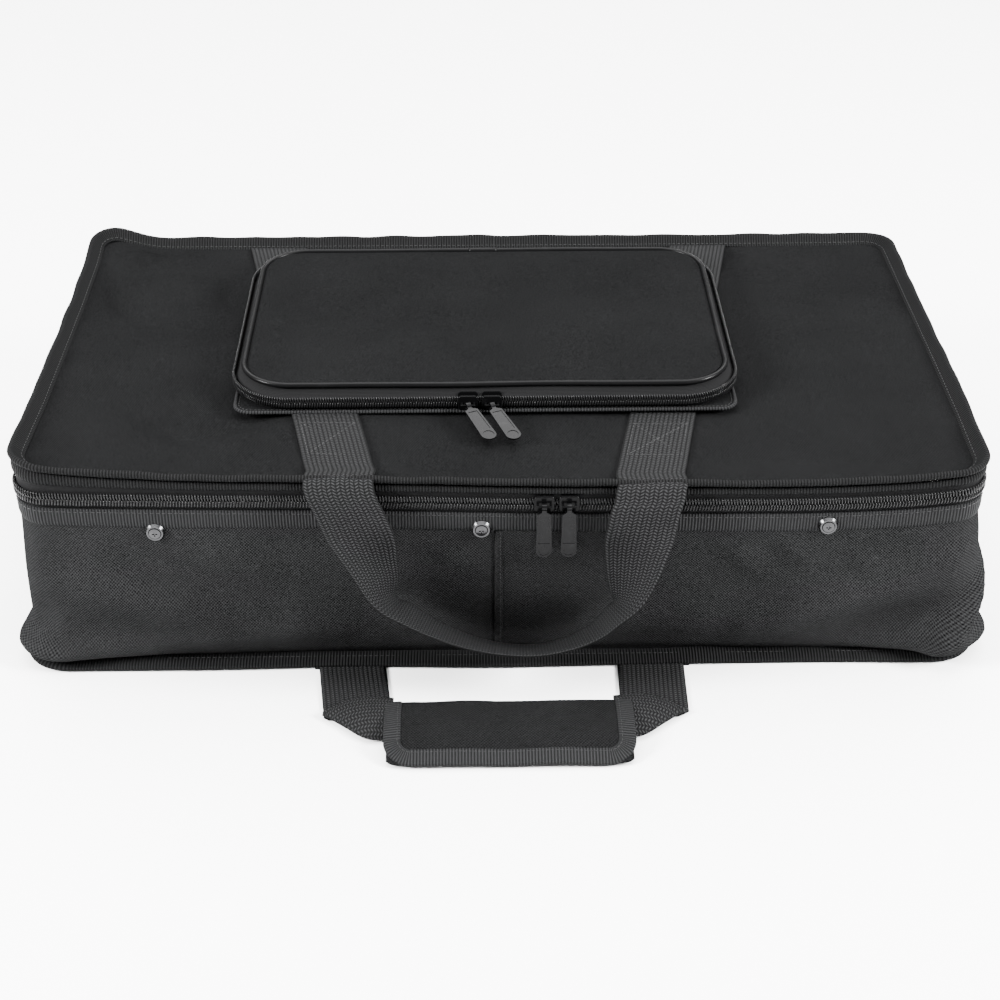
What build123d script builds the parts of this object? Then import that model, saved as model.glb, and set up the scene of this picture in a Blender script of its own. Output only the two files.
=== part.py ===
from build123d import *
from math import cos, hypot, radians, sin
import os

# A portable manicure table, folded flat inside its own zipped carry bag, lying ready to be carried.
# The bag is black fabric: a base, a wall strip of two halves, and a lid that is zipped round three
# sides and hinged on cloth at the back. Three screws in cup washers hold the wall to the table's
# front rail. A flat zipped pocket is on the lid. Each side has a webbing carrying loop, and the
# lower loop has a hook-and-loop grip wrap. Inside are the table top, its rails and two leg frames.
#
# Millimetres. +X is right, +Y is the hinge side, +Z is up. The origin is the middle of the bag's
# underside, where it rests on its base webbing.

# --- driving dimensions -------------------------------------------------------------------------
bag_width, bag_depth, bag_corner = 700.0, 394.0, 24.0
front = -bag_depth / 2
back = bag_depth / 2
cloth = 1.5  # coated fabric with its lining
webbing_width, webbing = 50.0, 2.0  # polypropylene webbing, width and thickness
flange = 11.0  # how far the bound base seam stands out

base_high = webbing + 2.0  # the base cloth and its webbing lie flush, under a stiffener
wall_top = 134.0
band_low, band = 119.0, 1.2
chain_middle, chain_height, chain_thick = 142.0, 10.0, 3.0  # a size 10 coil zip
chain_gap = 1.6  # left between the two rows for a slider's neck
tape = 1.0
lid_low, lid_high = 158.0, 160.0
rim_top, skirt_low = 168.0, 154.0
rim_out, rim_in = 2.0, 5.0
zip_end = 160.0  # where the zip stops, short of the back corners
hinge_y, hinge_z = back + 2.5, 152.0

seam_x = -5.0  # where the wall strip's two halves are sewn together
screw_x = (-250.0, -15.0, 236.0)
screw_z = 120.0
screw_r, washer_r, head_r = 2.0, 7.2, 4.2
hole_r = 2.1

# the handles' webbing runs slantwise over the lid and under the base
strap_back_x, strap_front_x = 183.0, 118.0

pocket_x, pocket_y = -10.5, 24.0
pocket_width, pocket_depth, pocket_corner = 385.0, 248.0, 45.0
pocket_floor_low, pocket_floor_high = 162.0, 163.0
pocket_cloth = 1.2
pocket_chain_middle = 170.0
pocket_top_low, pocket_top_high = 178.0, 179.5
pocket_zip_end = 130.0
pocket_front = pocket_y - pocket_depth / 2
pocket_back = pocket_y + pocket_depth / 2
piping_low, piping_high, piping_out = 176.5, 181.0, 2.5

grip_left, grip_right = -85.0, 92.0
grip_front, grip_back = -326.0, -258.0
lower_hinge_y = front - flange - 1.0

top_low, top_high = 134.0, 152.0  # the table's board
top_half_x, top_half_y, edging = 338.0, 191.8, 2.0
rail, rail_low = 18.0, 74.0
rail_half_x = 318.0
rail_face = front + cloth + tape + 0.1
tube, tube_wall = 25.0, 1.5
leg_y = 150.0
upper_leg_z, lower_leg_z = 58.0, 28.0
cross_tube = 20.0
pin_r, bracket, ear_gap = 4.0, 3.0, 1.5

os.makedirs("parts", exist_ok=True)


def save(part, name):
    """Labels a finished piece and writes its STEP file."""
    part.label = name
    export_step(part, f"parts/{name}.step")


# --- shapes that follow the bag's outline --------------------------------------------------------
def slab(grow, low, high):
    """A flat piece with the bag's outline, grown by grow."""
    with BuildPart() as piece:
        with BuildSketch(Plane.XY.offset(low)):
            RectangleRounded(bag_width + 2 * grow, bag_depth + 2 * grow, bag_corner + grow)
        extrude(amount=high - low)
    return piece.part


def hoop(inner, outer, low, high, size=(bag_width, bag_depth, bag_corner), middle=(0, 0)):
    """An upright strip that goes right round an outline, between two offsets from it."""
    width, depth, corner = size
    with BuildPart() as piece:
        with BuildSketch(Plane.XY.offset(low)):
            with Locations(middle):
                RectangleRounded(width + 2 * outer, depth + 2 * outer, corner + outer)
                RectangleRounded(
                    width + 2 * inner, depth + 2 * inner, corner + inner, mode=Mode.SUBTRACT
                )
        extrude(amount=high - low)
    return piece.part


def three_sides(strip, end_y):
    """The part of a strip in front of end_y, where a zip runs."""
    with BuildPart() as piece:
        add(strip)
        split(bisect_by=Plane.XZ.offset(-end_y), keep=Keep.TOP)
    return piece.part


def fourth_side(strip, end_y):
    """The part of a strip behind end_y, where the cloth hinge is."""
    with BuildPart() as piece:
        add(strip)
        split(bisect_by=Plane.XZ.offset(-end_y - 0.5), keep=Keep.BOTTOM)
    return piece.part


def drilled(strip):
    """A strip with the three screw holes through its front."""
    with BuildPart() as piece:
        add(strip)
        with BuildSketch(Plane.XZ):
            with Locations(*[(x, screw_z) for x in screw_x]):
                Circle(hole_r)
        extrude(amount=bag_depth, mode=Mode.SUBTRACT)
    return piece.part


def softened(strip, radius):
    """A strip with its top edges rounded."""
    with BuildPart() as piece:
        add(strip)
        fillet(piece.faces().sort_by(Axis.Z)[-1].edges(), radius)
    return piece.part


# --- the bag's base and wall ----------------------------------------------------------------------
save(slab(-3, webbing, base_high), "base_stiffener")
save(softened(hoop(0, flange, webbing, webbing + 5), 1.5), "base_binding")

wall = drilled(hoop(-cloth, 0, base_high, wall_top))
for name, side in (("wall_left", Keep.BOTTOM), ("wall_right", Keep.TOP)):
    with BuildPart() as half:
        add(wall)
        split(bisect_by=Plane.YZ.offset(seam_x), keep=side)
    save(half.part, name)

save(drilled(hoop(0, band, band_low, wall_top)), "wall_top_band")
save(fourth_side(hoop(-cloth, 0, wall_top, hinge_z), zip_end), "hinge_cloth")

lower_row_low = chain_middle - chain_height / 2
lower_row_high = chain_middle - chain_gap / 2
upper_row_low = chain_middle + chain_gap / 2
upper_row_high = chain_middle + chain_height / 2
tape_in = -cloth - tape
lower_tape = drilled(hoop(tape_in, -cloth, band_low + 1, lower_row_high))
save(three_sides(lower_tape, zip_end), "zip_tape_lower")
save(three_sides(hoop(-cloth, cloth, lower_row_low, lower_row_high), zip_end), "zip_coil_lower")


# --- webbing sewn over the lid and under the base ---------------------------------------------------
def slanting_strap(side, low, front_y, back_y):
    """A strap lying flat, slanting from strap_back_x at the back to strap_front_x at the front."""
    run = bag_depth
    slant = strap_back_x - strap_front_x
    middle = (strap_back_x + strap_front_x) / 2
    length = hypot(run, slant) + 2 * webbing_width
    angle = Vector(0, 1).get_angle(Vector(slant, run))
    with BuildPart() as strap:
        with BuildSketch(Plane.XY.offset(low)):
            with Locations(Location((side * middle, 0), -side * angle)):
                Rectangle(webbing_width, length)
            with Locations((0, (front_y + back_y) / 2)):
                Rectangle(bag_width, back_y - front_y, mode=Mode.INTERSECT)
        extrude(amount=webbing)
    return strap.part


with BuildPart() as base_panel:
    add(slab(flange - 2, 0, webbing))
    for name, side in (("base_webbing_left", -1), ("base_webbing_right", 1)):
        strap = slanting_strap(side, 0, front - flange + 0.5, back - 12)
        add(strap, mode=Mode.SUBTRACT)
        save(strap, name)
save(base_panel.part, "base_panel")

# each lid strap climbs over the bound rim at its front end
ramp_start, ramp_end = -177.0, -189.0
strap_end = front - rim_out - 0.2
over_rim = rim_top + 0.2
for name, side in (("lid_webbing_left", -1), ("lid_webbing_right", 1)):
    with BuildPart() as strap:
        add(slanting_strap(side, lid_high, ramp_start, back - rim_in - 0.2))
        with BuildSketch(Plane.YZ.offset(side * strap_front_x - webbing_width / 2)):
            with BuildLine():
                Polyline(
                    (ramp_start + 3, lid_high),
                    (ramp_start - 1, lid_high),
                    (ramp_end, over_rim),
                    (strap_end, over_rim),
                    (strap_end, over_rim + webbing),
                    (ramp_end + 1, over_rim + webbing),
                    (ramp_start, lid_high + webbing),
                    (ramp_start + 3, lid_high + webbing),
                    close=True,
                )
            make_face()
        extrude(amount=webbing_width)
    save(strap.part, name)

# --- the screws that hold the wall to the table, and their cup washers -------------------------------
washer_seat = front - band - 0.1


def at_screws(turned):
    """Three copies of a turned piece, one on each screw's axis."""
    with BuildPart() as copies:
        with Locations(*[(x, washer_seat, screw_z) for x in screw_x]):
            add(turned)
    return copies.part


with BuildPart() as washer:
    with BuildSketch():
        with BuildLine():
            Polyline(
                (2.3, 0),
                (washer_r, 0),
                (washer_r, -0.5),
                (6.0, -2.2),
                (4.8, -2.2),
                (2.3, -0.6),
                close=True,
            )
        make_face()
    revolve(axis=Axis.Y)
save(at_screws(washer.part), "cup_washers")

with BuildPart() as screw:
    with BuildSketch():
        with BuildLine():
            Polyline((0, 24), (screw_r, 22), (screw_r, -0.8), (head_r, -2.4), (head_r, -2.6))
            ThreePointArc((head_r, -2.6), (head_r / 2, -3.0), (0, -3.1))
            Line((0, -3.1), (0, 24))
        make_face()
    revolve(axis=Axis.Y)
    with BuildSketch(Plane.XZ.offset(3.2)):
        Rectangle(3.8, 0.9)
        Rectangle(0.9, 3.8)
    extrude(amount=-1.0, mode=Mode.SUBTRACT)
save(at_screws(screw.part), "wall_screws")

# --- the lid -----------------------------------------------------------------------------------------
save(slab(-cloth, lid_low, lid_high), "lid_panel")
save(slab(-6, lid_low - 5, lid_low), "lid_foam")
with BuildPart() as rim:
    add(hoop(-rim_in, rim_out, lid_high, rim_top))
    add(hoop(-0.5, rim_out, skirt_low, lid_high))
save(softened(rim.part, 2.5), "lid_binding")
save(three_sides(hoop(tape_in, -cloth, upper_row_low, lid_low), zip_end), "zip_tape_upper")
save(three_sides(hoop(-cloth, cloth, upper_row_low, upper_row_high), zip_end), "zip_coil_upper")

# --- the pocket on the lid -----------------------------------------------------------------------------
pocket_size = (pocket_width, pocket_depth, pocket_corner)
pocket_middle = (pocket_x, pocket_y)


def pocket_hoop(inner, outer, low, high):
    """A strip that goes round the pocket."""
    return hoop(inner, outer, low, high, pocket_size, pocket_middle)


pocket_lower_row_low = pocket_chain_middle - chain_height / 2
pocket_lower_row_high = pocket_chain_middle - 0.6
pocket_upper_row_low = pocket_chain_middle + 0.6
pocket_upper_row_high = pocket_chain_middle + chain_height / 2
pocket_tape_in = -pocket_cloth - tape

with BuildPart() as pocket_floor:
    with BuildSketch(Plane.XY.offset(pocket_floor_low)):
        with Locations(pocket_middle):
            RectangleRounded(pocket_width - 8, pocket_depth + 4, pocket_corner / 3)
    extrude(amount=pocket_floor_high - pocket_floor_low)
save(pocket_floor.part, "pocket_back")

with BuildPart() as pocket_wall:
    add(pocket_hoop(-pocket_cloth, 0, pocket_floor_high, pocket_lower_row_low))
    add(fourth_side(pocket_hoop(-pocket_cloth, 0, pocket_lower_row_low, 176), pocket_zip_end))
save(pocket_wall.part, "pocket_wall")
pocket_lower_tape = pocket_hoop(
    pocket_tape_in, -pocket_cloth, pocket_floor_high, pocket_lower_row_high
)
save(three_sides(pocket_lower_tape, pocket_zip_end), "pocket_tape_lower")
pocket_lower_row = pocket_hoop(-pocket_cloth, 1.6, pocket_lower_row_low, pocket_lower_row_high)
save(three_sides(pocket_lower_row, pocket_zip_end), "pocket_coil_lower")

with BuildPart() as pocket_top:
    with BuildSketch(Plane.XY.offset(pocket_top_low)):
        with Locations(pocket_middle):
            RectangleRounded(
                pocket_width - 2 * pocket_cloth,
                pocket_depth - 2 * pocket_cloth,
                pocket_corner - pocket_cloth,
            )
    extrude(amount=pocket_top_high - pocket_top_low)
save(pocket_top.part, "pocket_top")
piping = pocket_hoop(-pocket_cloth, piping_out, piping_low, piping_high)
save(softened(piping, 1.6), "pocket_piping")
pocket_upper_tape = pocket_hoop(pocket_tape_in, -pocket_cloth, pocket_upper_row_low, pocket_top_low)
save(three_sides(pocket_upper_tape, pocket_zip_end), "pocket_tape_upper")
pocket_upper_row = pocket_hoop(-pocket_cloth, 1.6, pocket_upper_row_low, pocket_upper_row_high)
save(three_sides(pocket_upper_row, pocket_zip_end), "pocket_coil_upper")

# --- zip sliders and their pulls --------------------------------------------------------------------
slider_length, plate = 15.0, 1.8
bail_reach, bail_r, bail_half = 3.4, 0.8, 4.6
pull_length, pull_thick, pull_half = 43.0, 1.4, 5.8
knuckle_r, knuckle_bore, knuckle_length = 2.6, 1.8, 3.4


def slider(x, coil_face, tape_back, middle, low, high, neck):
    """A zip slider: a plate in front of the coil and one behind the tape, joined by a neck between
    the two rows, with a bail across the front for the pull."""
    plate_back = coil_face - 0.4
    plate_face = plate_back - plate
    bail_y = plate_face - bail_reach
    with BuildPart() as piece:
        with BuildSketch(Plane.XZ.offset(-plate_back)):
            with Locations((x, (low + high) / 2)):
                RectangleRounded(slider_length, high - low, 2.6)
        extrude(amount=plate)
        fillet(piece.faces().sort_by(Axis.Y)[0].edges(), 0.8)
        with BuildSketch(Plane.XZ.offset(-(tape_back + 0.4))):
            with Locations((x, (low + high) / 2)):
                RectangleRounded(slider_length, high - low, 2.6)
        extrude(amount=-1.2)
        with Locations((x, (plate_back + tape_back + 0.4) / 2, middle)):
            Box(4, tape_back + 0.4 - plate_back, neck)
        with BuildSketch(Plane.YZ.offset(x - bail_half - bail_r)):
            with Locations((bail_y, middle)):
                Circle(bail_r)
        extrude(amount=2 * (bail_half + bail_r))
        for side in (-1, 1):
            with Locations((x + side * bail_half, (plate_face + bail_y) / 2 + 0.1, middle)):
                Box(2 * bail_r, plate_face - bail_y + 0.2, 2 * bail_r)
    return piece.part


def pull(seat):
    """A zip pull: a tab with a rounded end and a thumb recess, hung by a knuckle on the bail. The
    seat's X runs through the knuckle, its Y along the tab, and its Z out of the tab's face."""
    across = Plane(seat.origin, x_dir=seat.y_dir, z_dir=seat.x_dir)
    end = pull_length - pull_half
    with BuildPart() as piece:
        with BuildSketch(seat.offset(-pull_thick / 2)):
            with BuildLine():
                Polyline(
                    (-1.6, 1.9),
                    (-1.6, 4.4),
                    (-4.9, 6.4),
                    (-pull_half, end),
                )
                ThreePointArc((-pull_half, end), (0, pull_length), (pull_half, end))
                Polyline((pull_half, end), (4.9, 6.4), (1.6, 4.4), (1.6, 1.9), (-1.6, 1.9))
            make_face()
        extrude(amount=pull_thick)
        with BuildSketch(seat.offset(pull_thick / 2)):
            with BuildLine():
                Polyline((-3.6, 8.4), (-4.3, end - 6), (4.3, end - 6), (3.6, 8.4), close=True)
            make_face()
            with Locations((0, end)):
                Circle(4.2)
        extrude(amount=-0.35, mode=Mode.SUBTRACT)
        with BuildSketch(across.offset(-knuckle_length / 2)):
            Circle(knuckle_r)
        extrude(amount=knuckle_length)
        with BuildSketch(across.offset(-knuckle_length / 2)):
            Circle(knuckle_bore)
        extrude(amount=knuckle_length, mode=Mode.SUBTRACT)
    return piece.part


main_bail_y = front - cloth - 0.4 - plate - bail_reach
for name, x in (("left", 30.0), ("right", 48.0)):
    body = slider(x, front - cloth, front - tape_in, chain_middle, 135.5, 148.5, chain_gap - 0.4)
    save(body, f"main_slider_{name}")
    hanging = Plane((x, main_bail_y, chain_middle), x_dir=(-1, 0, 0), z_dir=(0, -1, 0))
    save(pull(hanging), f"main_pull_{name}")

pocket_bail_y = pocket_front - 1.6 - 0.4 - plate - bail_reach
pull_yaw, pull_dip = radians(24), radians(8)
along = Vector(sin(pull_yaw) * cos(pull_dip), -cos(pull_yaw) * cos(pull_dip), -sin(pull_dip))
for name, x in (("left", -24.0), ("right", -6.0)):
    body = slider(
        x, pocket_front - 1.6, pocket_front - pocket_tape_in, pocket_chain_middle, 163.9, 176.0, 0.9
    )
    save(body, f"pocket_slider_{name}")
    level = Vector(-cos(pull_yaw), -sin(pull_yaw), 0)
    lying = Plane((x, pocket_bail_y, pocket_chain_middle), x_dir=level, z_dir=level.cross(along))
    save(pull(lying), f"pocket_pull_{name}")

# --- the upper carrying loop, hanging over the front -----------------------------------------------
# Stations down one side: where the webbing's middle is, which way it runs, and how far it has turned
# from lying face to the wall towards lying edge to the wall.
loop_stations = (
    ((118, -203.4, 167.5), (0, -0.25, -1), 0),
    ((118, -206.5, 158.0), (-0.05, -0.4, -1), 0),
    ((115, -211.5, 148.0), (-0.15, -0.2, -1), 0),
    ((107, -214.5, 120.0), (-0.22, 0, -1), 0),
    ((100, -216.0, 92.0), (-0.25, 0, -1), 10),
    ((95, -218.0, 76.0), (-0.35, 0, -0.9), 25),
    ((87, -220.5, 62.0), (-0.55, 0, -0.8), 47),
    ((76, -223.5, 50.0), (-0.75, 0, -0.65), 70),
    ((62, -225.0, 40.5), (-0.85, 0, -0.5), 85),
    ((36, -225.0, 30.0), (-0.94, 0, -0.3), 90),
    ((0, -225.0, 24.0), (-1, 0, 0), 90),
)
edge_on = Vector(0, -0.84, 0.54)  # the way the webbing's width points at the bottom of the loop


def station(point, heading, turned, side):
    """The plane across the webbing at one station, on one side of the loop."""
    x, y, z = point
    run = Vector(heading[0], heading[1], heading[2]).normalized()
    flat = Vector(1, 0, 0) - run * run.X
    wide = flat * cos(radians(turned)) + edge_on * sin(radians(turned))
    return Plane(
        (side * x, y, z),
        x_dir=(side * wide.X, wide.Y, wide.Z),
        z_dir=(run.X, side * run.Y, side * run.Z),
    )


down = [station(*stop, 1) for stop in loop_stations]
up = [station(*stop, -1) for stop in reversed(loop_stations[:-1])]
with BuildPart() as upper_loop:
    for seat in down + up:
        with BuildSketch(seat):
            Rectangle(webbing_width, webbing)
    loft(ruled=True)
save(upper_loop.part, "upper_handle")

# --- the lower carrying loop and its grip wrap, lying on the floor ------------------------------------
core_front, core_back, core_low, core_high = -302.0, -266.0, 5.0, 9.0
with BuildPart() as lower_loop:
    for side in (-1, 1):
        end = grip_left if side < 0 else grip_right
        with BuildSketch():
            with BuildLine():
                Polyline(
                    (side * 139, lower_hinge_y - 1.6),
                    (side * 87, lower_hinge_y - 1.6),
                    (end + side * 0.5, -254),
                    (end + side * 0.5, core_front),
                    (side * 99, core_front),
                    (side * 136, -266),
                    close=True,
                )
            make_face()
        extrude(amount=webbing)
        with BuildSketch(Plane.XY.offset(webbing)):
            with BuildLine():
                Polyline(
                    (end + side * 0.5, core_back),
                    (side * 120, core_back),
                    (side * 126, -276),
                    (side * 99, core_front),
                    (end + side * 0.5, core_front),
                    close=True,
                )
            make_face()
        extrude(amount=core_high - webbing)
    with Locations(((grip_left + grip_right) / 2, (core_front + core_back) / 2, 7)):
        Box(grip_right - grip_left + 2, core_back - core_front, core_high - core_low)
save(lower_loop.part, "lower_handle")


def grip_piece(points):
    """A piece of the grip wrap, from its outline across the grip."""
    with BuildPart() as piece:
        with BuildSketch(Plane.YZ.offset(grip_left)):
            with BuildLine():
                Polyline(*points, close=True)
            make_face()
        extrude(amount=grip_right - grip_left)
    return piece.part


grip_floor, pad_top = 0.5, 4.5
flap_low, flap_high = core_high + 0.7, core_high + 4.7
save(
    grip_piece(
        (
            (-318, grip_floor),
            (grip_back, grip_floor),
            (grip_back, core_high + 0.5),
            (grip_back - 4, core_high + 0.5),
            (grip_back - 4, pad_top),
            (-318, pad_top),
        )
    ),
    "grip_wrap_pad",
)
save(
    grip_piece(
        (
            (grip_front, 1.5),
            (-320, 1.5),
            (-319, 6.6),
            (-306, 6.6),
            (-302, flap_low),
            (grip_back, flap_low),
            (grip_back, flap_high),
            (-304, flap_high),
            (-312, 11),
            (-321, 10),
            (grip_front, 5),
        )
    ),
    "grip_wrap_flap",
)
for name, low in (("grip_loop_strip", pad_top), ("grip_hook_strip", pad_top + 1.05)):
    with BuildPart() as strip:
        with Locations(((grip_left + grip_right) / 2, -311, low + 0.5)):
            Box(150, 8, 1)
    save(strip.part, name)

# --- the table: board, edging and rails ---------------------------------------------------------------
with BuildPart() as board:
    with BuildSketch(Plane.XY.offset(top_low)):
        RectangleRounded(2 * (top_half_x - edging), 2 * (top_half_y - edging), 18)
    extrude(amount=top_high - top_low)
save(board.part, "table_top")
with BuildPart() as edge_strip:
    with BuildSketch(Plane.XY.offset(top_low)):
        RectangleRounded(2 * top_half_x, 2 * top_half_y, 20)
        RectangleRounded(
            2 * (top_half_x - edging), 2 * (top_half_y - edging), 18, mode=Mode.SUBTRACT
        )
    extrude(amount=top_high - top_low)
save(edge_strip.part, "table_edging")


def rail_piece(x_low, x_high, y_low, y_high):
    """One wooden rail under the board."""
    with BuildPart() as piece:
        with Locations(((x_low + x_high) / 2, (y_low + y_high) / 2, (rail_low + top_low) / 2)):
            Box(x_high - x_low, y_high - y_low, top_low - rail_low)
    return piece.part


save(
    drilled(rail_piece(-rail_half_x, rail_half_x, rail_face, rail_face + rail)), "table_rail_front"
)
save(
    rail_piece(-rail_half_x, rail_half_x, -rail_face - rail, -rail_face), "table_rail_back"
)
side_rail = -rail_face - rail
save(rail_piece(-rail_half_x, -rail_half_x + rail, -side_rail, side_rail), "table_rail_left")
save(rail_piece(rail_half_x - rail, rail_half_x, -side_rail, side_rail), "table_rail_right")


# --- the folded leg frames ------------------------------------------------------------------------------
def square_tube(length, across, middle, along_x):
    """A square steel tube, open at both ends, along X or along Y."""
    inside = across - 2 * tube_wall
    with BuildPart() as piece:
        with Locations(middle):
            if along_x:
                Box(length, across, across)
                Box(length, inside, inside, mode=Mode.SUBTRACT)
            else:
                Box(across, length, across)
                Box(inside, length, inside, mode=Mode.SUBTRACT)
    return piece.part


def leg_frame(side, level, pivot_x, foot_x, cross_x):
    """One folded leg frame: two legs, two cross tubes, rubber feet, pivot pins and brackets."""
    name = "left" if side < 0 else "right"
    near = pivot_x + side * 14  # the leg runs a little past its pivot
    length = abs(foot_x - near)
    for place, leg_side in (("front", -1), ("back", 1)):
        middle = ((near + foot_x) / 2, leg_side * leg_y, level)
        with BuildPart() as leg:
            add(square_tube(length, tube, middle, True))
            with BuildSketch(Plane.XZ):
                with Locations((pivot_x, level)):
                    Circle(pin_r + 0.05)
            extrude(amount=bag_depth / 2, both=True, mode=Mode.SUBTRACT)
        save(leg.part, f"{name}_leg_{place}")
    with BuildPart() as crosses:
        for x in cross_x:
            add(square_tube(2 * leg_y - tube, cross_tube, (x, 0, level), False))
    save(crosses.part, f"{name}_leg_cross_tubes")
    with BuildPart() as feet:
        for leg_side in (-1, 1):
            with Locations((foot_x - side * 2.5, leg_side * leg_y, level)):
                Box(5, tube + 2, tube + 2)
    save(feet.part, f"{name}_leg_feet")
    ear_y = leg_y + tube / 2 + ear_gap
    with BuildPart() as pins:
        for leg_side in (-1, 1):
            with BuildSketch(Plane.XZ.offset(-leg_side * (leg_y - tube / 2 - 3))):
                with Locations((pivot_x, level)):
                    Circle(pin_r)
            extrude(amount=-leg_side * (tube + 3 + ear_gap + bracket + 1))
            with BuildSketch(Plane.XZ.offset(-leg_side * (ear_y + bracket + 0.1))):
                with Locations((pivot_x, level)):
                    Circle(pin_r + 2.5)
            extrude(amount=-leg_side * 2)
    save(pins.part, f"{name}_leg_pivot_pins")
    with BuildPart() as brackets:
        for leg_side in (-1, 1):
            inner = rail_half_x - rail
            with Locations(
                (side * (inner - 14), leg_side * (ear_y + bracket / 2), (level + 92) / 2)
            ):
                Box(28, bracket, 92 - level + 22)
            with Locations((side * (inner - 1.5), leg_side * (ear_y - 8), 92)):
                Box(3, 16, 22)
        with BuildSketch(Plane.XZ):
            with Locations((pivot_x, level)):
                Circle(pin_r + 0.05)
        extrude(amount=bag_depth / 2, both=True, mode=Mode.SUBTRACT)
    save(brackets.part, f"{name}_leg_brackets")


leg_frame(-1, upper_leg_z, -284, 292, (-150, 270))
leg_frame(1, lower_leg_z, 284, -270, (150, -248))

print("build finished")
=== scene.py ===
"""A flat black carry bag that holds a folded manicure table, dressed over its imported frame."""
import logging
import math
from dataclasses import dataclass, field
from enum import Enum
from functools import cache
from typing import Any, Sequence

import bmesh
import bpy
import numpy as np
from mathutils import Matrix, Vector


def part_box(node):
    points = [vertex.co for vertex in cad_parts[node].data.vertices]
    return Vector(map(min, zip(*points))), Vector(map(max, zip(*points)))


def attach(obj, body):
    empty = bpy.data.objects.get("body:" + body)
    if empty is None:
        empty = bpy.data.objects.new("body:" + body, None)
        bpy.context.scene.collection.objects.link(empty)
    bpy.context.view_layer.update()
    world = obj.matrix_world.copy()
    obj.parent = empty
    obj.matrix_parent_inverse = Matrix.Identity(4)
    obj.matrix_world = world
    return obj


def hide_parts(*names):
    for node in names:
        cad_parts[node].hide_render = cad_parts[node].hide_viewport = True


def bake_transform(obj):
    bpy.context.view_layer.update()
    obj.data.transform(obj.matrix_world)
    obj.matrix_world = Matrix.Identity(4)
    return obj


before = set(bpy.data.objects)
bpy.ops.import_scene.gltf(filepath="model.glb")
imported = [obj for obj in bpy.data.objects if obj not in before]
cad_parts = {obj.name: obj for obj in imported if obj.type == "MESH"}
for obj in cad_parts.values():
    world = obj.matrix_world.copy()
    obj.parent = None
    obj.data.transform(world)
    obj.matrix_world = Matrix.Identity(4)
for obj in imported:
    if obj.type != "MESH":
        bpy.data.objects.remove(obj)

Array = np.ndarray
Point = tuple[float, float, float]
MM = 0.001
TAU = 2 * math.pi
ACROSS = np.array([1.0, 0.0, 0.0])
UP = np.array([0.0, 0.0, 1.0])
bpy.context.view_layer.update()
log = logging.getLogger("bag")

# half the width of every webbing strap
STRAP_HALF = 25 * MM
# how much deeper every crease is cut than its own height says
CREASE_GAIN = 2.4
# how much of a crease's height is left at its two ends
CREASE_ENDS = 0.35
# how far a valley may sink into the wall: the table's rail lies 2.6 mm behind the wall's face
DEEPEST = 2.2 * MM


# --- small tools --------------------------------------------------------------------------------
def box_corners(name: str) -> tuple[Array, Array]:
    """The low and the high corner of a node's box."""
    low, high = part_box(name)
    return np.array(low), np.array(high)


def flat_middle(low: Array, high: Array) -> tuple[float, float]:
    """The middle of a box, seen from above."""
    x, y = ((low + high) / 2)[:2]
    return float(x), float(y)


def unit(vectors: Array) -> Array:
    """The same directions, one long."""
    return vectors / np.linalg.norm(vectors, axis=-1, keepdims=True)


def everywhere(direction: Array, path: Array) -> Array:
    """One direction, at every place of a path."""
    return np.broadcast_to(direction, path.shape)


def flat_places(across: Array, along: Array) -> Array:
    """Flat coordinates of a grid, from those of its columns and those of its rows."""
    return np.stack(np.broadcast_arrays(across[None], along[:, None]), -1)


def circle(sides: int, radius: float) -> Array:
    """A round profile."""
    turn = np.arange(sides) * TAU / sides
    return np.stack([np.cos(turn), np.sin(turn)], -1) * radius


# --- shader graphs ------------------------------------------------------------------------------
class Value:
    """A number that varies over a surface, written with ordinary operators."""

    def __init__(self, graph: "Graph", socket: Any) -> None:
        """Wraps one socket of a graph."""
        self.graph = graph
        self.socket = socket

    def _with(self, operation: str, first: Any, second: Any) -> "Value":
        """Adds one Math node."""
        return self.graph.node("ShaderNodeMath", {"operation": operation}, {0: first, 1: second})

    def __add__(self, other: Any) -> "Value":
        """This plus other."""
        return self._with("ADD", self, other)

    __radd__ = __add__

    def __sub__(self, other: Any) -> "Value":
        """This less other."""
        return self._with("SUBTRACT", self, other)

    def __rsub__(self, other: Any) -> "Value":
        """Other less this."""
        return self._with("SUBTRACT", other, self)

    def __mul__(self, other: Any) -> "Value":
        """This times other."""
        return self._with("MULTIPLY", self, other)

    __rmul__ = __mul__

    def __truediv__(self, other: Any) -> "Value":
        """This over other."""
        return self._with("DIVIDE", self, other)

    def call(self, operation: str, other: Any = 0.0) -> "Value":
        """Any other Math operation, such as SINE or FLOOR."""
        return self._with(operation, self, other)


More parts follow.
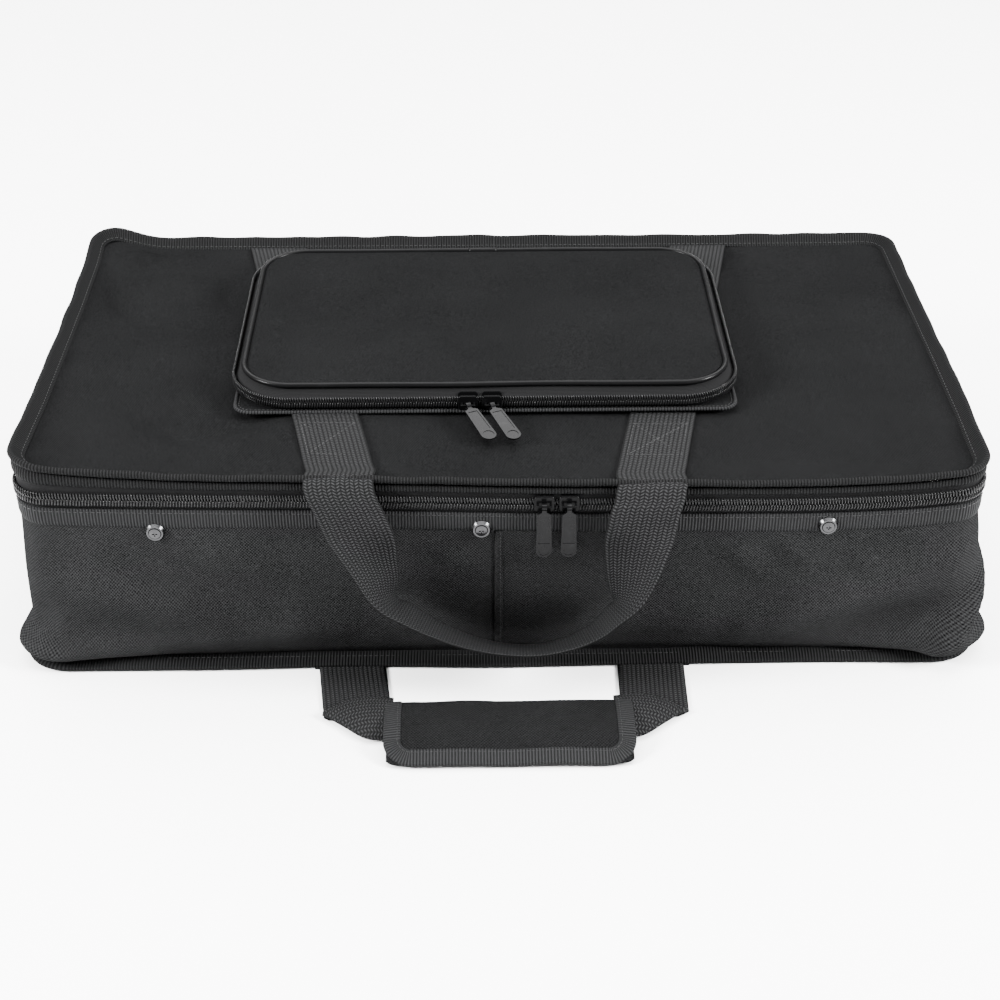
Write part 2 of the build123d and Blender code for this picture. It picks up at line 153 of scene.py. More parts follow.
class Graph:
    """A material's node tree, built from values."""

    def __init__(self, name: str) -> None:
        """Starts an empty material."""
        self.material = bpy.data.materials.new(name)
        self.material.use_nodes = True
        self.tree = self.material.node_tree
        self.tree.nodes.clear()

    def node(self, kind: str, settings: dict | None = None, inputs: dict | None = None,
             output: int | str = 0) -> Value:
        """Adds a node.

        Args:
            kind: the node's type.
            settings: its properties, set before its sockets.
            inputs: values, or links, for its sockets by name or number.
            output: which of its outputs is wanted.

        Returns:
            The wanted output.
        """
        made = self.tree.nodes.new(kind)
        for name, value in (settings or {}).items():
            setattr(made, name, value)
        for name, value in (inputs or {}).items():
            if isinstance(value, Value):
                self.tree.links.new(value.socket, made.inputs[name])
            else:
                made.inputs[name].default_value = value
        return Value(self, made.outputs[output] if len(made.outputs) else None)

    def uv(self) -> tuple[Value, Value]:
        """The piece's own flat coordinates, in metres: across and along."""
        place = self.node("ShaderNodeUVMap", {"uv_map": "cut"})
        across = self.node("ShaderNodeSeparateXYZ", None, {0: place})
        return across, Value(self, across.socket.node.outputs[1])

    def place(self) -> Value:
        """The point's place on the whole object, in metres."""
        return self.node("ShaderNodeTexCoord", output="Object")

    def noise(self, size: float, detail: float) -> Value:
        """Smooth noise from 0 to 1, whose lumps are about size metres."""
        return self.node("ShaderNodeTexNoise", None, {
            "Vector": self.place(), "Scale": 1 / size, "Detail": detail, "Roughness": 0.55,
        })

    def blend(self, factor: Value, low: Sequence[float], high: Sequence[float]) -> Value:
        """A colour between two colours."""
        return self.node("ShaderNodeMix", {"data_type": "RGBA"}, {
            0: factor, 6: (*low, 1.0), 7: (*high, 1.0),
        }, 2)

    def bump(self, height: Value, depth: float, strength: float = 1.0) -> Value:
        """A normal pushed about by a height from 0 to 1, depth metres deep."""
        return self.node("ShaderNodeBump", None, {
            "Strength": strength, "Distance": depth, "Height": height,
        })

    def finish(self, colour: Any, roughness: Any, normal: Value | None = None,
               **fixed: float) -> bpy.types.Material:
        """Closes the graph with one Principled shader.

        Args:
            colour: the base colour.
            roughness: the roughness.
            normal: the bumped normal, if any.
            fixed: other sockets that are the same all over, by name with _ for a space.

        Returns:
            The material.
        """
        inputs: dict[str, Any] = {"Base Color": colour, "Roughness": roughness}
        inputs.update({name.replace("_", " "): value for name, value in fixed.items()})
        if normal is not None:
            inputs["Normal"] = normal
        shader = self.node("ShaderNodeBsdfPrincipled", None, inputs)
        self.node("ShaderNodeOutputMaterial", None, {"Surface": shader})
        return self.material


# --- finishes -----------------------------------------------------------------------------------
@dataclass(frozen=True)
class WovenCloth:
    """Coated basket-woven cloth: a checker of threads that reads as fine slanting rows."""

    name: str
    dark: Sequence[float]
    light: Sequence[float]
    thread: float = 1.25 * MM
    depth: float = 0.22 * MM
    gloss: float = 0.0
    # how strongly the weave's painted highlight and painted shade show in the colour
    painted_weave_shade: float = 0.4

    def make(self) -> bpy.types.Material:
        """Builds the material."""
        graph = Graph(self.name)
        across, along = graph.uv()
        turn = TAU / self.thread / 2
        warp = (across * turn).call("SINE")
        weft = (along * turn).call("SINE")
        weave = warp * weft
        grain = graph.noise(1.1 * MM, 2.0)
        patches = graph.noise(70 * MM, 2.0)
        height = weave * 0.5 + grain * 0.5
        # The colour follows the weave's height: painted highlight on the raised threads and painted
        # shade on the sunken ones; the grain and the broad patches are random tone.
        painted_shade_and_grain = weave * self.painted_weave_shade + (grain - 0.5) * 1.3 + (patches - 0.5) * 0.25 + 0.5
        colour = graph.blend(painted_shade_and_grain, self.dark, self.light)
        rough = 0.6 + patches * 0.16
        return graph.finish(colour, rough, graph.bump(height, self.depth, 0.8),
                            Specular_IOR_Level=self.gloss)


@dataclass(frozen=True)
class HerringboneWebbing:
    """Heavy webbing: narrow rows of slanting yarns that lean one way and then the other."""

    name: str
    dark: Sequence[float]
    light: Sequence[float]
    row: float = 3.3 * MM
    yarn: float = 2.3 * MM
    depth: float = 0.7 * MM

    def make(self) -> bpy.types.Material:
        """Builds the material."""
        graph = Graph(self.name)
        across, along = graph.uv()
        rows = across / self.row
        number = rows.call("FLOOR")
        inside = rows - number
        lean = (number * 0.5).call("FRACT") * 4 - 1
        slant = along + (inside - 0.5) * lean * (self.yarn * 0.75)
        yarns = (slant * (TAU / self.yarn)).call("SINE") * 0.5 + 0.5
        crown = (inside * math.pi).call("SINE")
        fuzz = graph.noise(0.5 * MM, 2.0)
        height = yarns * crown
        # The colour follows the yarns' height: painted highlight on the yarn crowns and painted
        # shade between the yarns and at the edges of the rows; the fuzz is random tone.
        colour = graph.blend(height * 0.8 + fuzz * 0.25, self.dark, self.light)
        rough = 0.5 + fuzz * 0.25
        return graph.finish(colour, rough, graph.bump(height + fuzz * 0.15, self.depth),
                            Specular_IOR_Level=0.01)


@dataclass(frozen=True)
class RibbedTape:
    """Binding tape with cross ribs, and a thread line along it."""

    name: str
    dark: Sequence[float]
    light: Sequence[float]
    rib: float = 2.25 * MM
    depth: float = 0.55 * MM

    def make(self) -> bpy.types.Material:
        """Builds the material."""
        graph = Graph(self.name)
        across, along = graph.uv()
        ribs = (along * (TAU / self.rib)).call("SINE") * 0.5 + 0.5
        threads = (across * (TAU / (1.1 * MM))).call("SINE") * 0.5 + 0.5
        fuzz = graph.noise(0.6 * MM, 2.0)
        height = ribs * (0.75 + threads * 0.25)
        # The colour follows the ribs' height: painted highlight on the rib crests and painted shade
        # in the grooves between them; the fuzz is random tone.
        colour = graph.blend(height * 0.8 + fuzz * 0.3, self.dark, self.light)
        return graph.finish(colour, 0.52 + fuzz * 0.2, graph.bump(height, self.depth),
                            Specular_IOR_Level=0.01)


@dataclass(frozen=True)
class FineTape:
    """A zip's smooth woven tape: very fine threads along it."""

    name: str
    dark: Sequence[float]
    light: Sequence[float]

    def make(self) -> bpy.types.Material:
        """Builds the material."""
        graph = Graph(self.name)
        across, along = graph.uv()
        threads = (across * (TAU / (0.8 * MM))).call("SINE") * 0.5 + 0.5
        picks = (along * (TAU / (0.9 * MM))).call("SINE") * 0.5 + 0.5
        fuzz = graph.noise(0.8 * MM, 2.0)
        height = threads * 0.6 + picks * 0.2 + fuzz * 0.2
        # The colour follows the threads' height: painted highlight on the raised threads and
        # painted shade between them; part of it is random fuzz.
        colour = graph.blend(height, self.dark, self.light)
        return graph.finish(colour, 0.6 + fuzz * 0.15, graph.bump(height, 0.12 * MM),
                            Specular_IOR_Level=0.01)


@dataclass(frozen=True)
class MouldedFinish:
    """A moulded, plated, painted or laminated surface with faint wear and unevenness."""

    name: str
    colour: Sequence[float]
    worn: Sequence[float]
    roughness: float = 0.3
    metallic: float = 0.0
    coat: float = 0.0
    gloss: float = 0.2
    grain: float = 0.35 * MM
    depth: float = 0.02 * MM
    spots: float = 9 * MM

    def make(self) -> bpy.types.Material:
        """Builds the material."""
        graph = Graph(self.name)
        patches = graph.noise(self.spots, 4.0)
        grain = graph.noise(self.grain, 2.0)
        wear = (patches - 0.55).call("MAXIMUM", 0.0) * 3.0
        colour = graph.blend(wear.call("MINIMUM", 1.0), self.colour, self.worn)
        rough = self.roughness + (patches - 0.5) * 0.2 + (grain - 0.5) * 0.08
        return graph.finish(colour, rough, graph.bump(grain, self.depth, 0.6),
                            Metallic=self.metallic, Coat_Weight=self.coat, Coat_Roughness=0.1,
                            Specular_IOR_Level=self.gloss)


class Finish(Enum):
    """Every finish on the object, by the name of its material."""

    # The lid cloth's colours are set lower than the wall cloth's as painted shade, to offset the
    # stronger light that falls on the top; the pocket's cloth shares them.
    LID_CLOTH = WovenCloth("lid_cloth", (0.0008, 0.0008, 0.0008), (0.0066, 0.0067, 0.0069),
                           thread=1.0 * MM, depth=0.12 * MM, painted_weave_shade=0.25)
    WALL_CLOTH = WovenCloth("wall_cloth", (0.0003, 0.0003, 0.0003), (0.0155, 0.0157, 0.016),
                            thread=1.15 * MM, depth=0.35 * MM)
    GRIP_CLOTH = WovenCloth("grip_cloth", (0.0002, 0.0002, 0.0002), (0.0085, 0.0086, 0.0088),
                            thread=1.15 * MM, depth=0.35 * MM)
    LINING = WovenCloth("lining_cloth", (0.006, 0.006, 0.0065), (0.014, 0.014, 0.015),
                        thread=0.9 * MM, depth=0.1 * MM)
    WEBBING = HerringboneWebbing("webbing", (0.0002, 0.0002, 0.0002), (0.021, 0.0212, 0.0217))
    RIBBED = RibbedTape("ribbed_binding", (0.0015, 0.0015, 0.0016), (0.016, 0.0162, 0.0166))
    RIM = RibbedTape("rim_binding_tape", (0.0008, 0.0008, 0.0008), (0.0085, 0.0086, 0.0088))
    TAPE = FineTape("zip_tape", (0.003, 0.003, 0.0031), (0.008, 0.008, 0.0082))
    THREAD = MouldedFinish("sewing_thread", (0.009, 0.009, 0.0092), (0.013, 0.013, 0.0133),
                           roughness=0.5)
    COIL = MouldedFinish("nylon_coil", (0.006, 0.006, 0.0062), (0.01, 0.01, 0.0103),
                         roughness=0.3, coat=0.05, gloss=0.1)
    PIPING = MouldedFinish("pvc_piping", (0.0025, 0.0025, 0.0026), (0.005, 0.005, 0.0052),
                           roughness=0.3, coat=0.02, gloss=0.03, spots=30 * MM)
    ENAMEL = MouldedFinish("black_enamel", (0.0015, 0.0015, 0.0016), (0.006, 0.006, 0.0062),
                           roughness=0.2, coat=0.03, gloss=0.02)
    GUNMETAL = MouldedFinish("gunmetal", (0.0028, 0.0028, 0.003), (0.009, 0.009, 0.0094),
                             roughness=0.3, metallic=0.3, coat=0.04, gloss=0.05)
    STEEL = MouldedFinish("bright_steel", (0.03, 0.03, 0.031), (0.05, 0.05, 0.05),
                          roughness=0.25, metallic=1.0)
    POWDER = MouldedFinish("silver_powder_coat", (0.42, 0.43, 0.44), (0.5, 0.5, 0.51),
                           roughness=0.4, metallic=0.4, depth=0.05 * MM)
    RUBBER = MouldedFinish("black_rubber", (0.015, 0.015, 0.015), (0.04, 0.04, 0.04),
                           roughness=0.7, depth=0.05 * MM)
    BOARD = MouldedFinish("white_laminate", (0.72, 0.71, 0.69), (0.6, 0.59, 0.57),
                          roughness=0.35, spots=120 * MM)
    EDGING = MouldedFinish("edge_band", (0.03, 0.03, 0.031), (0.06, 0.06, 0.062),
                           roughness=0.4)
    STIFFENER = MouldedFinish("stiffener_board", (0.05, 0.05, 0.052), (0.08, 0.08, 0.082),
                              roughness=0.6)

    @cache
    def material(self) -> bpy.types.Material:
        """The finish's material, built the first time that it is asked for."""
        return self.value.make()


# --- surfaces -----------------------------------------------------------------------------------
@dataclass(frozen=True)
class Ripples:
    """A smooth random field: the mean of a few sine waves that run in seeded directions."""

    seed: int
    length: float
    waves: int = 7

    def at(self, u: Array, v: Array) -> Array:
        """The field, about -1 to 1, at flat places in metres."""
        rng = np.random.default_rng(self.seed)
        way = rng.uniform(0, TAU, self.waves)
        start = rng.uniform(0, TAU, self.waves)
        turn = TAU / (self.length * rng.uniform(0.6, 1.7, self.waves))
        run = u[..., None] * np.cos(way) + v[..., None] * np.sin(way)
        return np.sin(run * turn + start).sum(-1) / math.sqrt(self.waves)


@dataclass(frozen=True)
class Crease:
    """A soft ridge, or with a negative height a valley, along a line on a flat surface.

    Its height falls away from the line as a bell curve, and fades towards both ends.
    """

    start: tuple[float, float]
    end: tuple[float, float]
    width: float
    height: float

    def at(self, u: Array, v: Array) -> Array:
        """The crease's height at flat places, all in millimetres."""
        (u0, v0), (u1, v1) = self.start, self.end
        length = math.hypot(u1 - u0, v1 - v0)
        along = ((u - u0) * (u1 - u0) + (v - v0) * (v1 - v0)) / length ** 2
        aside = ((u - u0) * (v1 - v0) - (v - v0) * (u1 - u0)) / length
        inside = np.clip(along, 0, 1)
        beyond = (along - inside) * length
        fade = CREASE_ENDS + (1 - CREASE_ENDS) * np.sin(math.pi * inside)
        bell = np.exp(-(aside ** 2 + beyond ** 2) / self.width ** 2)
        return CREASE_GAIN * self.height * fade * bell


def creased(creases: Sequence[Crease], u: Array, v: Array) -> Array:
    """The sum of several creases, in metres, at flat places in metres."""
    return sum((c.at(u / MM, v / MM) for c in creases), np.zeros(np.broadcast(u, v).shape)) * MM


def smooth(points: Sequence[Sequence[float]], count: int, closed: bool = False) -> Array:
    """A Catmull-Rom curve through points, sampled evenly in its own parameter.

    Args:
        points: the places that it passes through.
        count: how many samples to return.
        closed: whether it joins up.

    Returns:
        The samples, without a repeated last one where it is closed.
    """
    p = np.asarray(points, float)
    if closed:
        ring = np.concatenate([p[-1:], p, p[:2]])
        t = np.arange(count) * len(p) / count
    else:
        ring = np.concatenate([2 * p[:1] - p[1:2], p, 2 * p[-1:] - p[-2:-1]])
        t = np.linspace(0, len(p) - 1, count)
    i = np.minimum(t.astype(int), len(ring) - 4)
    f = (t - i)[:, None]
    a, b, c, d = ring[i], ring[i + 1], ring[i + 2], ring[i + 3]
    return 0.5 * (2 * b + (c - a) * f + (2 * a - 5 * b + 4 * c - d) * f ** 2
                  + (3 * b - a - 3 * c + d) * f ** 3)


def run_length(points: Array) -> Array:
    """How far along a line of points each one is."""
    steps = np.linalg.norm(np.diff(points, axis=0), axis=-1)
    return np.concatenate([np.zeros((1, *steps.shape[1:])), np.cumsum(steps, axis=0)])


def distances(path: Array, closed: bool) -> Array:
    """How far along a path each place is, and where it joins up, its whole length last."""
    along = run_length(path)
    return np.append(along, along[-1] + np.linalg.norm(path[0] - path[-1])) if closed else along


def mesh_object(name: str, points: Array, faces: Array, uv: Array, finish: Finish,
                solid: bool = False) -> bpy.types.Object:
    """Puts points, quads and each corner's flat place into a new object at the origin.

    Args:
        name: the new object's name.
        points: its points.
        faces: its quads.
        uv: each corner's flat place.
        finish: its finish.
        solid: whether it is closed, so that its poles are welded and its faces turned outwards.

    Returns:
        The object.
    """
    mesh = bpy.data.meshes.new(name)
    mesh.vertices.add(len(points))
    mesh.vertices.foreach_set("co", points.astype(np.float32).ravel())
    mesh.loops.add(faces.size)
    mesh.loops.foreach_set("vertex_index", faces.astype(np.int32).ravel())
    mesh.polygons.add(len(faces))
    mesh.polygons.foreach_set("loop_start", np.arange(0, faces.size, 4, dtype=np.int32))
    mesh.polygons.foreach_set("loop_total", np.full(len(faces), 4, dtype=np.int32))
    mesh.polygons.foreach_set("use_smooth", np.ones(len(faces), dtype=bool))
    layer = mesh.uv_layers.new(name="cut")
    layer.data.foreach_set("uv", uv.astype(np.float32).ravel())
    mesh.update(calc_edges=True)
    if solid:
        shape = bmesh.new()
        shape.from_mesh(mesh)
        bmesh.ops.remove_doubles(shape, verts=shape.verts, dist=1e-7)
        bmesh.ops.recalc_face_normals(shape, faces=shape.faces)
        shape.to_mesh(mesh)
        shape.free()
    mesh.validate()
    made = bpy.data.objects.new(name, mesh)
    bpy.context.scene.collection.objects.link(made)
    mesh.materials.append(finish.material())
    return made


def grid(name: str, points: Array, uv: Array, finish: Finish, closed_rows: bool = False,
         closed_columns: bool = False, solid: bool = False) -> bpy.types.Object:
    """A surface from a grid of points.

    Args:
        name: the new object's name.
        points: rows by columns by 3; the first parameter crossed with the second points outwards.
        uv: the flat place of each point, with one more row or column where the grid is closed.
        finish: the surface's finish.
        closed_rows: whether the last row joins the first.
        closed_columns: whether the last column joins the first.
        solid: whether the whole surface is closed.

    Returns:
        The object.
    """
    rows, columns = points.shape[:2]
    r, c = np.meshgrid(np.arange(rows - (not closed_rows)),
                       np.arange(columns - (not closed_columns)), indexing="ij")
    corners = [(r, c), (r + 1, c), (r + 1, c + 1), (r, c + 1)]
    faces = np.stack([(a % rows) * columns + b % columns for a, b in corners], -1)
    flat = np.stack([uv[a, b] for a, b in corners], 2)
    return mesh_object(name, points.reshape(-1, 3), faces.reshape(-1, 4), flat, finish, solid)


def thicken(piece: bpy.types.Object, thickness: float, offset: float = -1.0) -> None:
    """Gives a sheet its thickness, inwards by default."""
    solid = piece.modifiers.new("thickness", "SOLIDIFY")
    solid.thickness = thickness
    solid.offset = offset
    solid.use_even_offset = False


def tube(name: str, path: Array, out: Array, up: Array, profile: Array, finish: Finish,
         closed: bool) -> bpy.types.Object:
    """A closed profile carried along a path.

    Each point is path + profile_x * out + profile_y * up. Where the path is open, its ends are
    drawn in to a point.

    Args:
        name: the new object's name.
        path: the places that it follows.
        out: the direction of the profile's first axis at each place.
        up: the direction of the profile's second axis at each place.
        profile: the loop of profile points, the same all along, or one loop for each place.
        finish: the surface's finish.
        closed: whether the path joins up.

    Returns:
        The object.
    """
    loops = np.broadcast_to(profile, (len(path), *profile.shape[-2:])).copy()
    along = distances(path, closed)
    if not closed:
        ends = loops[[0, -1]].mean(1, keepdims=True)
        loops = np.concatenate([np.broadcast_to(ends[:1], loops[:1].shape), loops,
                                np.broadcast_to(ends[1:], loops[:1].shape)])
        path, out, up = (np.concatenate([x[:1], x, x[-1:]]) for x in (path, out, up))
        along = np.concatenate([along[:1], along, along[-1:]])
    points = path[:, None] + loops[..., :1] * out[:, None] + loops[..., 1:] * up[:, None]
    ring = loops[len(loops) // 2]
    round_it = run_length(np.concatenate([ring, ring[:1]]))
    return grid(name, points, flat_places(round_it, along), finish, closed, True, True)


def ribbon(name: str, path: Array, out: Array, up: Array, profile: Array, finish: Finish,
           closed: bool, thickness: float = 0.8 * MM) -> bpy.types.Object:
    """A folded tape: an open profile carried along a path, as in tube, with a thickness.

    Args:
        name: the new object's name.
        path: the places that it follows.
        out: the direction of the profile's first axis at each place.
        up: the direction of the profile's second axis at each place.
        profile: the profile's points, from one edge of the tape to the other, the same all along
            or one row for each place.
        finish: the tape's finish.
        closed: whether the path joins up.
        thickness: the tape's thickness.

    Returns:
        The object.
    """
    rows = np.broadcast_to(profile, (len(path), *profile.shape[-2:]))
    points = path[:, None] + rows[..., :1] * out[:, None] + rows[..., 1:] * up[:, None]
    across = run_length(rows[len(rows) // 2])
    piece = grid(name, points, flat_places(across, distances(path, closed)), finish, closed)
    thicken(piece, thickness)
    return piece


def copies(name: str, template: Array, faces: Array, places: Array, axes: Array,
           finish: Finish) -> bpy.types.Object:
    """Many turned copies of one small shape in one mesh.

    Args:
        name: the new object's name.
        template: the shape's points.
        faces: its quads.
        places: where each copy goes.
        axes: three directions for each copy, as rows, that the shape's axes turn to.
        finish: their finish.

    Returns:
        The object.
    """
    points = np.einsum("pk,nkj->npj", template, axes) + places[:, None]
    all_faces = faces[None] + np.arange(len(places))[:, None, None] * len(template)
    uv = np.zeros((all_faces.size, 2))
    return mesh_object(name, points.reshape(-1, 3), all_faces.reshape(-1, 4), uv, finish, True)


def bead(length: float, width: float, height: float, around: int = 6) -> tuple[Array, Array]:
    """A small rounded bead: rings whose radius is the square root of 1 less their place squared.

    Args:
        length: its size along X.
        width: its size along Y.
        height: its size along Z.
        around: how many sides its rings have.

    Returns:
        Its points and its quads.
    """
    place = np.array([-1.0, -0.72, 0.0, 0.72, 1.0])
    radius = np.sqrt(np.maximum(1 - place ** 2, 0.0))
    turn = np.arange(around) * TAU / around
    points = np.stack(np.broadcast_arrays(
        place[:, None] * length / 2,
        radius[:, None] * np.cos(turn) * width / 2,
        radius[:, None] * np.sin(turn) * height / 2), -1)
    r, c = np.meshgrid(np.arange(len(place) - 1), np.arange(around), indexing="ij")
    after = (c + 1) % around
    faces = np.stack([r * around + c, r * around + after, (r + 1) * around + after,
                      (r + 1) * around + c], -1)
    return points.reshape(-1, 3), faces.reshape(-1, 4)


def stitches(name: str, path: Array, out: Array, closed: bool = False, length: float = 3.2 * MM,
             pitch: float = 4.2 * MM, thread: float = 0.55 * MM) -> bpy.types.Object:
    """A row of stitches that lie along a path, half sunk in the cloth.

    Args:
        name: the new object's name.
        path: the seam.
        out: the cloth's outward direction at each place on the seam.
        closed: whether the seam joins up.
        length: the length of each stitch.
        pitch: how far apart they are.
        thread: how thick the thread is.

    Returns:
        The object.
    """
    if closed:
        path, out = np.concatenate([path, path[:1]]), np.concatenate([out, out[:1]])
    along = run_length(path)
    at = np.arange(pitch / 2, along[-1], pitch)

    def read(values: Array, place: Array) -> Array:
        """Three numbers a place, between those given along the seam."""
        return np.stack([np.interp(place, along, values[:, k]) for k in range(3)], -1)

    near, proud = 0.5 * MM, thread * 0.1
    run = unit(read(path, at + near) - read(path, at - near))
    normal = read(out, at)
    side = unit(np.cross(normal, run))
    axes = np.stack([run, side, np.cross(run, side)], 1)
    template, faces = bead(length, thread, thread)
    return copies(name, template, faces, read(path, at) + normal * proud, axes, Finish.THREAD)


# --- the bag's outline and how it lies ----------------------------------------------------------
@dataclass(frozen=True)
class Outline:
    """A rectangle with round corners, walked from the middle of its back by the left.

    A corner's centre and the direction of the outward normal both change evenly with the distance
    walked, so a place is its corner's centre plus the radius times the normal.
    """

    width: float
    depth: float
    corner: float
    middle: tuple[float, float] = (0.0, 0.0)

    def _knots(self) -> tuple[Array, Array, Array, Array]:
        """Distances walked to each change, with the corner centre and the normal's angle there."""
        a, h = self.width / 2 - self.corner, self.depth / 2 - self.corner
        q = math.pi * self.corner / 2
        steps = [0, a, q, 2 * h, q, 2 * a, q, 2 * h, q, a]
        angle = np.radians([90, 90, 180, 180, 270, 270, 360, 360, 450, 450])
        x = np.array([0, -a, -a, -a, -a, a, a, a, a, 0])
        y = np.array([h, h, h, -h, -h, -h, -h, h, h, h])
        return np.cumsum(steps), x + self.middle[0], y + self.middle[1], angle

    @property
    def length(self) -> float:
        """The distance once round."""
        return float(self._knots()[0][-1])

    def normal(self, s: Array) -> Array:
        """The outward direction at each distance walked."""
        walked, _, _, angle = self._knots()
        turn = np.interp(s % walked[-1], walked, angle)
        return np.stack([np.cos(turn), np.sin(turn), np.zeros_like(turn)], -1)

    def at(self, s: Array, out: Any = 0.0, z: Any = 0.0) -> Array:
        """Places at distances walked, out from the outline and up from the floor."""
        walked, x, y, _ = self._knots()
        place = s % walked[-1]
        centre = np.stack([np.interp(place, walked, x), np.interp(place, walked, y), 0 * s], -1)
        reach = np.broadcast_to(self.corner + out, s.shape)[..., None]
        points = centre + reach * self.normal(s)
        points[..., 2] = z
        return points

    def front(self, x: float) -> float:
        """The distance walked to a place on the front edge."""
        return self.length / 2 + x - self.middle[0]

    def side_start(self, y: float) -> float:
        """The distance walked to a place on the left edge."""
        walked = self._knots()[0]
        return float(walked[2] + (self.depth / 2 - self.corner + self.middle[1] - y))


BAG = Outline(*(float(2 * size) for size in box_corners("wall_right")[1][:2]), 24 * MM)
FLOOR_TOP = float(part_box("base_stiffener")[1][2])
BAND_LOW, BAND_TOP = (float(c[2]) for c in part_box("wall_top_band"))
CHAIN = float(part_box("zip_coil_lower")[0][2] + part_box("zip_coil_upper")[1][2]) / 2
COIL_HALF = float(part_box("zip_coil_upper")[1][2]) - CHAIN
LID_TOP = float(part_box("lid_panel")[1][2])
RIM_TOP = float(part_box("lid_binding")[1][2])
ZIP_END = float(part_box("zip_coil_lower")[1][1])
HALF = BAG.length / 2


@dataclass(frozen=True)
class Lie:
    """How the soft bag lies: where its zip line sags or rises and where its wall stands out.

    Everything sewn to the wall takes its height and its place from here, so it stays together.
    """

    # the zip line's rise, in mm, against the distance from the middle of the front, in mm
    rise_at: Sequence[tuple[float, float]] = (
        (-1064, 1), (-780, 1), (-735, 6), (-700, 7), (-600, 5), (-480, 7), (-390, 9), (-345, 8),
        (-300, 6), (-215, 4), (-120, 2.5), (-60, 1), (0, -1), (45, -2), (120, -3), (210, -4),
        (260, -3), (300, -1), (335, 3), (370, 4), (480, 4), (735, 2), (780, 1), (1064, 1),
    )
    # how much nearer the rim lies to the zip than when it stands square, in mm
    squeeze_at: Sequence[tuple[float, float]] = (
        (-1064, 2), (-770, 1), (-740, -9), (-715, -7), (-690, 1), (-440, 2), (-400, -1), (-355, -6),
        (-325, -2), (-280, 4),
        (-215, 7), (0, 9), (280, 9), (350, 7), (420, 3), (700, 2), (1064, 2),
    )
    # how far the wall stands out or in at mid-height, in mm
    belly_at: Sequence[tuple[float, float]] = (
        (-1064, 3), (-750, 4), (-700, 9), (-620, 8), (-560, 5), (-420, 2), (-370, 3), (-330, 4),
        (-250, 2), (-100, 0.5), (0, -0.5), (150, 0), (260, 3), (340, 7), (400, 5), (560, 5),
        (700, 4), (1064, 3),
    )
    # how far the cloth hangs over the base seam, or draws in behind it, in mm
    foot_at: Sequence[tuple[float, float]] = (
        (-1064, -1), (-760, 0), (-700, 4), (-560, 3), (-400, 9), (-350, 17), (-310, 9), (-240, 1),
        (-150, -2), (0, -3), (150, -3), (240, 0), (300, 7), (345, 19), (390, 13), (480, 5),
        (600, 2), (720, 4), (1064, -1),
    )
    folds: Sequence[Crease] = (
        # the puckers under the left screw and the valley beside the corner
        Crease((-322, 116), (-318, 76), 13, -5.0),
        Crease((-318, 74), (-215, 38), 16, 4.0),
        Crease((-300, 108), (-225, 66), 16, -3.5),
        Crease((-248, 118), (-180, 92), 11, 3.5),
        Crease((-270, 86), (-165, 60), 12, -3.0),
        Crease((-190, 100), (-110, 116), 12, -2.2),
        Crease((-335, 54), (-345, 22), 9, -5.0),
        Crease((-350, 26), (-322, 20), 6, -3.5),
        Crease((-330, 14), (-120, 30), 12, 2.0),
        # the middle
        Crease((-60, 112), (-20, 84), 9, 1.5),
        Crease((-130, 60), (20, 34), 24, -2.5),
        Crease((30, 96), (180, 74), 26, -2.2),
        # the puckers under the right screw and the big slanting fold at the corner
        Crease((160, 108), (186, 82), 7, 2.2),
        Crease((186, 112), (204, 92), 7, -2.4),
        Crease((206, 110), (226, 90), 7, 2.2),
        Crease((250, 100), (276, 84), 8, 2.0),
        Crease((190, 30), (345, 92), 15, 4.5),
        Crease((250, 18), (350, 60), 15, -4.0),
        Crease((300, 84), (352, 104), 8, 3.0),
        Crease((318, 6), (372, 86), 7, 7.0),
        Crease((338, 4), (384, 66), 6, -5.0),
        # the left and right ends
        Crease((-700, 40), (-480, 70), 20, 3.0),
        Crease((-640, 96), (-520, 60), 18, -3.0),
        Crease((430, 60), (600, 90), 22, -3.0),
        Crease((520, 30), (700, 60), 18, 3.0),
        # the back
        Crease((-1000, 40), (-820, 80), 26, 3.0),
        Crease((820, 70), (1000, 40), 26, 3.0),
    )

    @staticmethod
    def _read(knots: Sequence[tuple[float, float]], s: Array) -> Array:
        """Reads a list of knots, in metres, with the steps between them smoothed."""
        at, value = np.array(knots, float).T
        samples, blur = 1200, 27
        fine = np.linspace(at[0], at[-1], samples)
        window = np.hanning(blur)
        read = np.pad(np.interp(fine, at, value), blur // 2, "edge")
        read = np.convolve(read, window / window.sum(), "valid")
        return np.interp((s - HALF) / MM, fine, read) * MM

    def rise(self, s: Array) -> Array:
        """The zip line's rise at a distance walked."""
        return self._read(self.rise_at, s)

    def height(self, s: Array, z: Any) -> Array:
        """Where a height on the square bag ends up on the soft one.

        From the floor up to the band the rise grows evenly, to the coil's top it is whole, and
        above that the heights are drawn together by the squeeze.
        """
        z = np.asarray(z, float)
        share = np.clip((z - FLOOR_TOP) / (BAND_LOW - FLOOR_TOP), 0, 1)
        coil_top = CHAIN + COIL_HALF
        drawn = 1 - self._read(self.squeeze_at, s) / (RIM_TOP - coil_top)
        above = np.maximum(z - coil_top, 0)
        return z + self.rise(s) * share ** 1.5 + above * (drawn - 1)

    def out(self, s: Array, z: Any) -> Array:
        """How far the wall stands out at a place: its belly, its folds and a little unevenness."""
        z = np.asarray(z, float)
        up = np.clip((z - FLOOR_TOP) / (BAND_LOW - FLOOR_TOP), 0, 1)
        belly = self._read(self.belly_at, s) * np.sin(math.pi * up ** 0.7)
        u = s - HALF
        # the folds die away at the base seam and towards the band
        loose = np.clip(1.15 - up, 0, 1) * np.clip(up * 6, 0, 1)
        level = z + 0 * u
        wrinkles = creased(self.folds, u, level) + Ripples(3, 55 * MM).at(u, level) * 0.5 * MM
